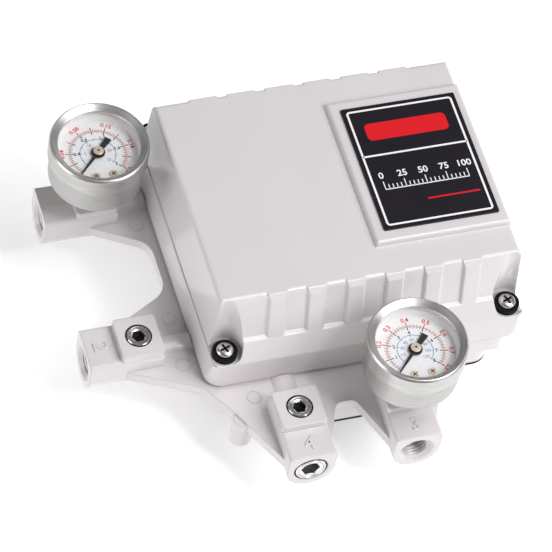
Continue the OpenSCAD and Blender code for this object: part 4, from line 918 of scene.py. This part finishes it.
class POSITIONER_OT_spring(bpy.types.Operator):
    """Wind the feedback spring in the place of the packed spring, which it hides."""

    bl_idname = "positioner.spring"
    bl_label = "Feedback spring"

    def execute(self, context):
        look = context.scene.positioner_ports
        low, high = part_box("feedback_spring")
        x, z, length = (low.x + high.x) / 2, (low.z + high.z) / 2, high.y - low.y
        parts = [coil((x, low.y, z), length, (high.x - low.x) / 2, look.wire, look.spring_turns)]
        made = piece("feedback_coil", parts, None, finish("bright_steel"))
        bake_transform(made)
        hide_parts("feedback_spring")
        return {"FINISHED"}


class POSITIONER_OT_plate(bpy.types.Operator):
    """Print the plate on the cover: border, divider, a plain red bar and a plain 0 to 100 scale."""

    bl_idname = "positioner.plate"
    bl_label = "Plate"

    def execute(self, context):
        ink = context.scene.positioner_print.ink
        low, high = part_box("cover_nameplate")
        levels = (high.z - ink, high.z + ink)
        margin, line, corner = 2.2 * MM, 0.9 * MM, 1.2 * MM
        x0, y0, x1, y1 = low.x + margin, low.y + margin, high.x - margin, high.y - margin
        width, depth = x1 - x0, y1 - y0
        divide = y0 + 0.60 * depth
        loop, out = rounded_loop(x0, y0, x1, y1, corner)
        white = [strip(loop, out, line / 2, *levels, True),
                 bar(x0, divide - line / 2, x1, divide + line / 2, *levels)]
        inset, scale_y = 0.1 * width, y0 + 0.30 * depth
        white += self.scale(x0 + inset, x1 - inset, scale_y, high.z, ink)
        piece("plate_white_print", white, "cover", finish("white_ink"))
        inset, radius = 0.11 * width, 2.2 * MM
        red_low, red_high = divide + 0.13 * depth, divide + 0.28 * depth
        foot, half, start, stop = y0 + 0.17 * depth, 0.4 * MM, x0 + 0.45 * width, x1 - 2.4 * MM
        red = [slab(x0 + inset, red_low, x1 - inset, red_high, radius, *levels),
               bar(start, foot - half, stop, foot + half, *levels)]
        piece("plate_red_print", red, "cover", finish("red_ink"))
        return {"FINISHED"}

    def scale(self, first, last, y, face, ink):
        """Straight scale: its line, a mark for each 5, and a taller mark with a number for each 25."""
        half_line, half_mark = 0.25 * MM, 0.2 * MM
        tall, short = 4.2 * MM, 2.4 * MM
        number_up, number_height = 7.2 * MM, 3.1 * MM
        full, small_step, large_step = 100, 5, 25
        levels = (face - ink, face + ink)
        parts = [bar(first, y - half_line, last, y + half_line, *levels)]
        readings = range(0, full + 1, small_step)
        for reading, x in zip(readings, np.linspace(first, last, len(readings))):
            rise = short if reading % large_step else tall
            parts.append(bar(x - half_mark, y, x + half_mark, y + rise, *levels))
        for reading in range(0, full + 1, large_step):
            place = (first + (last - first) * reading / full, y + number_up, face)
            parts.append(placed(str(reading), number_height, 2 * ink, place))
        return parts


class POSITIONER_OT_stage(bpy.types.Operator):
    """Floor, soft studio light and the camera at the photograph's angle."""

    bl_idname = "positioner.stage"
    bl_label = "Stage"

    def execute(self, context):
        look = context.scene.positioner_stage
        self.lay_floor(context.scene, look)
        world = bpy.data.worlds.new("studio")
        world.use_nodes = True
        back = world.node_tree.nodes["Background"]
        back.inputs["Color"].default_value = (1, 1, 1, 1)
        back.inputs["Strength"].default_value = look.dome
        context.scene.world = world
        self.lamp("key", spot=(0.90, -0.90, 1.05), size=(0.8, 0.8), power=look.key)
        self.lamp("top", spot=(0.50, -0.12, 1.30), size=(0.9, 0.7), power=look.top)
        self.lamp("glint", spot=(0.32, -0.62, 1.08), size=(0.12, 0.16), power=look.glint)
        self.lamp("fill", spot=(-1.30, -0.10, 0.40), size=(0.7, 0.9), power=look.fill)
        context.scene.view_settings.view_transform = "Standard"
        self.set_camera(context.scene)
        return {"FINISHED"}

    def lay_floor(self, scene, look):
        """Square floor just under the part: a flat grid of points, in metres."""
        half, count, drop = 4, 9, 0.5 * MM
        level = CAD_BOX[0].z - drop
        span = np.linspace(-half, half, count)
        x, y = np.meshgrid(span, span, indexing="ij")
        points = np.stack([x, y, 0 * x + level], -1).reshape(-1, 3)
        mesh = bpy.data.meshes.new("floor")
        mesh.from_pydata(points.tolist(), [], grid_faces(count, count).tolist())
        mesh.materials.append(material(
            "studio_floor", floor_recipe(look.floor), Specular_IOR_Level=0.1,
            Emission_Color=(1, 1, 1, 1), Emission_Strength=look.glow))
        floor = bpy.data.objects.new("floor", mesh)
        scene.collection.objects.link(floor)

    def lamp(self, name, spot, size, power):
        """Rectangular soft light at a spot, facing the part; place and size in metres."""
        aim = Vector((0, 0, 0.03))
        light = bpy.data.lights.new(name, "AREA")
        light.shape = "RECTANGLE"
        light.size, light.size_y = size
        light.energy = power
        made = bpy.data.objects.new(name, light)
        bpy.context.scene.collection.objects.link(made)
        made.location = spot
        made.rotation_mode = "QUATERNION"
        made.rotation_quaternion = (aim - Vector(spot)).to_track_quat("-Z", "Y")

    def set_camera(self, scene):
        """Camera with a long lens, at the place and with the right, up and backward directions that make the
        part's straight edges lie as they do in the photograph."""
        place = Vector((-0.4589, -0.8959, 1.3637))
        right = Vector((0.9520, -0.2801, 0.1235))
        up = Vector((0.1610, 0.8011, 0.5765))
        behind = Vector((-0.2604, -0.5290, 0.8077))
        lens = bpy.data.cameras.new("camera")
        lens.sensor_width = 36
        lens.lens = 258.63
        lens.clip_start = 0.05
        lens.clip_end = 20
        camera = bpy.data.objects.new("camera", lens)
        scene.collection.objects.link(camera)
        turn = Matrix((right, up, behind)).transposed().to_4x4()
        camera.matrix_world = Matrix.Translation(place) @ turn
        scene.camera = camera


class POSITIONER_PT_sidebar(bpy.types.Panel):
    """Lists the settings and the steps of the positioner's looks."""

    bl_label = "Positioner"
    bl_space_type = "VIEW_3D"
    bl_region_type = "UI"
    bl_category = "Positioner"

    def draw(self, context):
        scene = context.scene
        for name, kind in GROUPS.items():
            box = self.layout.box()
            for key in kind.__annotations__:
                box.prop(getattr(scene, name), key)
        for step in STEPS:
            self.layout.operator(step.bl_idname)


STEPS = (POSITIONER_OT_stage, POSITIONER_OT_castings, POSITIONER_OT_fittings, POSITIONER_OT_dials,
         POSITIONER_OT_ports, POSITIONER_OT_hardware, POSITIONER_OT_spring, POSITIONER_OT_plate)
GROUPS = {"positioner_finish": FinishSettings, "positioner_ports": PortSettings,
          "positioner_print": PrintSettings, "positioner_stage": StageSettings}


def register():
    """Makes the settings, steps and sidebar known, and hangs the settings on the scene."""
    for made in (*GROUPS.values(), *STEPS, POSITIONER_PT_sidebar):
        bpy.utils.register_class(made)
    for key, group in GROUPS.items():
        setattr(bpy.types.Scene, key, bpy.props.PointerProperty(type=group))


def unregister():
    """Takes back what register() did."""
    for key in GROUPS:
        delattr(bpy.types.Scene, key)
    for made in (POSITIONER_PT_sidebar, *reversed(STEPS), *reversed(tuple(GROUPS.values()))):
        bpy.utils.unregister_class(made)


def main():
    """Runs every step in order."""
    register()
    for step in STEPS:
        part, name = step.bl_idname.split(".")
        getattr(getattr(bpy.ops, part), name)()


if __name__ == "__main__":
    main()
